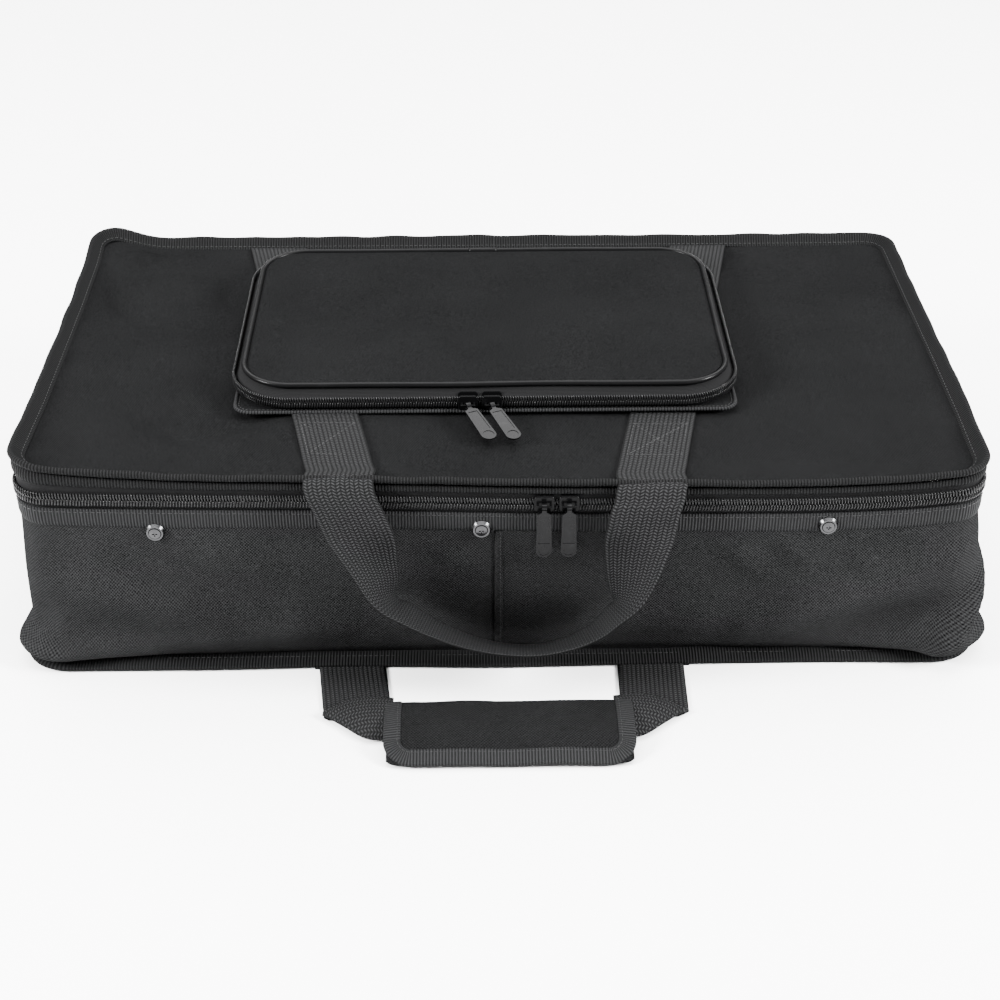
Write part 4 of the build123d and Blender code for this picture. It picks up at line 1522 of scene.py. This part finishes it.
@dataclass
class GripHandle:
    """The lower loop lying on the floor: two folded straps and the padded grip wrap."""

    def build(self) -> None:
        """Builds the straps and the grip."""
        self._strap(-1, "left")
        self._strap(1, "right")
        self._wrap()

    def _strap(self, side: int, name: str) -> None:
        """One strap: flat on the floor, then folded over itself towards the grip."""
        lies_at = 1.2 * MM
        middle, slant = (-113.5 * MM, 8 * MM) if side < 0 else (112 * MM, -2 * MM)
        y = np.linspace(-200, -268, 30) * MM
        t = (y - y[0]) / (y[-1] - y[0])
        path = np.stack([middle + slant * t, y, np.full_like(y, lies_at)], -1)
        flat = webbing(f"lower_strap_{name}", path, everywhere(ACROSS, path), 1.7 * MM)
        self._cut_corner(flat, side)
        settle(flat, "lower_handle", ["lower_handle"] if side < 0 else [])
        mirror = np.array([side, 1, 1]) * MM
        top, bottom = (smooth(np.array(knots) * mirror, 26) for knots in (
            [[131, -263, 2.6], [115, -254, 6], [98, -252, 8], [80, -254, 8]],
            [[131, -264, 2.4], [116, -277, 2.6], [98, -292, 3.2], [80, -292, 4]]))
        share = np.linspace(0, 1, 16)[None, :, None]
        points = top[:, None] * (1 - share) + bottom[:, None] * share
        crown = np.linspace(0.2, 1, 26)[:, None]
        points[..., 2] += 4.5 * MM * np.sin(math.pi * share[..., 0]) * crown
        width = np.linalg.norm(top - bottom, axis=-1)[:, None] * share[..., 0]
        uv = np.stack(np.broadcast_arrays(width + 7 * MM, run_length(top)[:, None]), -1)
        fold = grid(f"lower_fold_{name}", points, uv, Finish.WEBBING)
        if side < 0:
            fold.data.flip_normals()
        thicken(fold, 1.7 * MM, 1.0)
        settle(fold, "lower_handle")

    def _cut_corner(self, piece: bpy.types.Object, side: int) -> None:
        """Draws the strap's outer end corner back to the fold line."""
        count = len(piece.data.vertices)
        points = np.empty(count * 3, np.float32)
        piece.data.vertices.foreach_get("co", points)
        points = points.reshape(-1, 3)
        fold = -262 * MM - (side * 136 * MM - points[:, 0]) * side * 0.62
        points[:, 1] = np.maximum(points[:, 1], np.minimum(fold, -250 * MM))
        piece.data.vertices.foreach_set("co", points.ravel())

    def _wrap(self) -> None:
        """The grip wrap: the pad beneath, and the flap that closes over it with a bound edge."""
        low, high = box_corners("grip_wrap_flap")
        edge = Outline(high[0] - low[0], 103 * MM, 19 * MM,
                       (float(low[0] + high[0]) / 2, -269.5 * MM))
        back, front = -258 * MM, edge.middle[1] - edge.depth / 2
        across = smooth(np.array([[0, 7.5], [0.03, 11.0], [0.1, 13.0], [0.3, 13.8], [0.55, 13.0],
                                  [0.78, 10.0], [0.92, 6.6], [1.0, 4.6]]), 80)

        def height(x: Array, y: Array) -> Array:
            """The section above, lower towards both ends, with a little unevenness."""
            t = (back - y) / (back - front)
            end = np.minimum(edge.width / 2 - np.abs(x - edge.middle[0]), 0.03)
            ends = 1 - 0.16 * np.exp(-end / (6 * MM))
            uneven = Ripples(41, 60 * MM).at(x, y) * 0.5 * MM
            return np.interp(t, across[:, 0], across[:, 1]) * MM * ends + uneven

        piece = panel("grip_flap_cloth", edge, height, Finish.GRIP_CLOTH, 90, 60, back)
        thicken(piece, 3.0 * MM)
        settle(piece, "grip_flap", ["grip_wrap_flap"])
        start = edge.side_start(back - 1 * MM)
        s = np.linspace(start, edge.length - start, 200)
        path = edge.at(s)
        path[:, 2] = height(path[:, 0], path[:, 1])
        inner = edge.at(s, -11 * MM)
        inner[:, 2] = height(inner[:, 0], inner[:, 1])
        slope = unit(inner - path)
        up = unit(np.cross(np.gradient(path, axis=0), slope))
        profile = smooth(np.array([[-2.5, -3.6], [0.3, -3.2], [1.3, -1.4], [1.1, 0.6], [-0.6, 1.3],
                                   [-5.0, 1.2], [-10.5, 1.0], [-11.4, -0.2]]) * MM, 24)
        bound = ribbon("grip_flap_binding", path, -slope, up, profile, Finish.RIBBED, False)
        settle(bound, "grip_flap")
        line = path + slope * 9 * MM + up * 1.15 * MM
        settle(stitches("grip_stitches", line, up, length=2.6 * MM, pitch=3.4 * MM,
                        thread=0.45 * MM), "grip_flap")
        self._pad()

    def _pad(self) -> None:
        """The padded underside, whose rolled ends show below the flap's corners."""
        low, high = box_corners("grip_wrap_pad")
        x = np.linspace(low[0] + 1 * MM, high[0] - 1 * MM, 60)
        loop = smooth(np.array([[-258.5, 2.2], [-262, 0.6], [-290, 0.5], [-312, 0.6], [-319, 1.6],
                                [-320.5, 3.8], [-317, 5.6], [-300, 5.0], [-275, 4.8], [-263, 6.4],
                                [-261.5, 9.5], [-259, 10], [-258, 6]]) * MM, 50, True)
        path = np.stack([x, 0 * x, 0 * x], -1)
        centre = loop.mean(0)
        ends = 1 - 0.12 * np.exp(-np.minimum(x - x[0], x[-1] - x) / (3 * MM))
        loops = centre + (loop - centre) * ends[:, None, None]
        loops[..., 1] = np.maximum(loops[..., 1], 0.4 * MM)
        out = everywhere(np.array([0, 1.0, 0]), path)
        piece = tube("grip_pad_cloth", path, out, everywhere(UP, path), loops, Finish.GRIP_CLOTH,
                     False)
        settle(piece, "lower_handle", ["grip_wrap_pad"])


@dataclass
class Hardware:
    """The CAD pieces that keep their own shape: each takes its finish here."""

    finishes: dict[str, Finish] = field(default_factory=lambda: {
        "cup_washers": Finish.STEEL, "wall_screws": Finish.STEEL,
        "main_slider": Finish.ENAMEL, "main_pull": Finish.GUNMETAL,
        "pocket_slider": Finish.ENAMEL, "pocket_pull": Finish.GUNMETAL,
        "table_top": Finish.BOARD, "table_rail": Finish.BOARD, "table_edging": Finish.EDGING,
        "left_leg_feet": Finish.RUBBER, "right_leg_feet": Finish.RUBBER,
        "left_leg_pivot_pins": Finish.STEEL, "right_leg_pivot_pins": Finish.STEEL,
        "left_leg": Finish.POWDER, "right_leg": Finish.POWDER,
        "base_stiffener": Finish.STIFFENER, "lid_foam": Finish.LINING,
        "grip_": Finish.LINING,
    })

    def dress(self) -> None:
        """Gives every CAD node that stays its finish, by the first name that fits."""
        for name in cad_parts:
            found = next((f for start, f in self.finishes.items() if name.startswith(start)), None)
            item = bpy.data.objects.get(name)
            if found is None or item is None:
                continue
            for slot in item.material_slots:
                slot.material = found.material()
            log.info("%s is finished in %s", name, found.value.name)


@dataclass
class Studio:
    """A pale floor, soft lights and the camera."""

    place: Point = (-0.021, -1.298, 0.859)
    tilt: float = 33.0
    turn: float = 1.01
    lens: float = 66.06
    lights: Sequence[tuple[str, Point, float, float]] = (
        ("left", (-2.0, -0.8, 1.2), 0.7, 330),
        ("right", (2.0, -0.7, 1.2), 0.7, 330),
        ("top", (0.0, 1.0, 3.0), 5.0, 1000),
    )
    sky: float = 0.5

    def build(self) -> None:
        """Builds the floor, the lights and the camera."""
        self._floor()
        for name, place, size, power in self.lights:
            self._light(name, place, size, power)
        world = bpy.data.worlds.new("studio")
        world.use_nodes = True
        colour, strength = world.node_tree.nodes["Background"].inputs[:2]
        colour.default_value, strength.default_value = (1, 1, 1, 1), self.sky
        bpy.context.scene.world = world
        lens = bpy.data.cameras.new("camera")
        lens.lens = self.lens
        lens.sensor_width = 36
        camera = bpy.data.objects.new("camera", lens)
        camera.location = self.place
        camera.rotation_euler = (math.radians(90 - self.tilt), 0, math.radians(-self.turn))
        bpy.context.scene.collection.objects.link(camera)
        bpy.context.scene.camera = camera

    def _floor(self) -> None:
        """A wide pale floor."""
        t = np.linspace(-20, 20, 2)
        x, y = np.meshgrid(t, t, indexing="ij")
        points = np.stack([x, y, 0 * x], -1)
        floor = grid("floor", points, points[..., :2], Finish.BOARD)
        graph = Graph("pale_floor")
        dust = graph.noise(0.4, 2.0)
        paint = graph.finish(graph.blend(dust, (0.93, 0.93, 0.93), (0.95, 0.95, 0.95)), 0.6)
        floor.data.materials[0] = paint

    def _light(self, name: str, place: Point, size: float, power: float) -> None:
        """A square soft light that faces the bag."""
        lamp = bpy.data.lights.new(name, "AREA")
        lamp.size = size
        lamp.energy = power
        made = bpy.data.objects.new(name, lamp)
        made.location = place
        aim = Vector((0, 0, 0.1)) - Vector(place)
        made.rotation_euler = aim.to_track_quat("-Z", "Y").to_euler()
        bpy.context.scene.collection.objects.link(made)


def main() -> None:
    """Builds the bag over its frame, in the order that it would be sewn."""
    logging.basicConfig(level=logging.INFO, format="%(asctime)s %(message)s", datefmt="%M:%S")
    Studio().build()
    for part in (Walls(), Zip(), HingeCloth(), Lid(), CarryStrap(), Pocket(), GripHandle()):
        log.info("building %s", type(part).__name__)
        part.build()
    Hardware().dress()


if __name__ == "__main__":
    main()
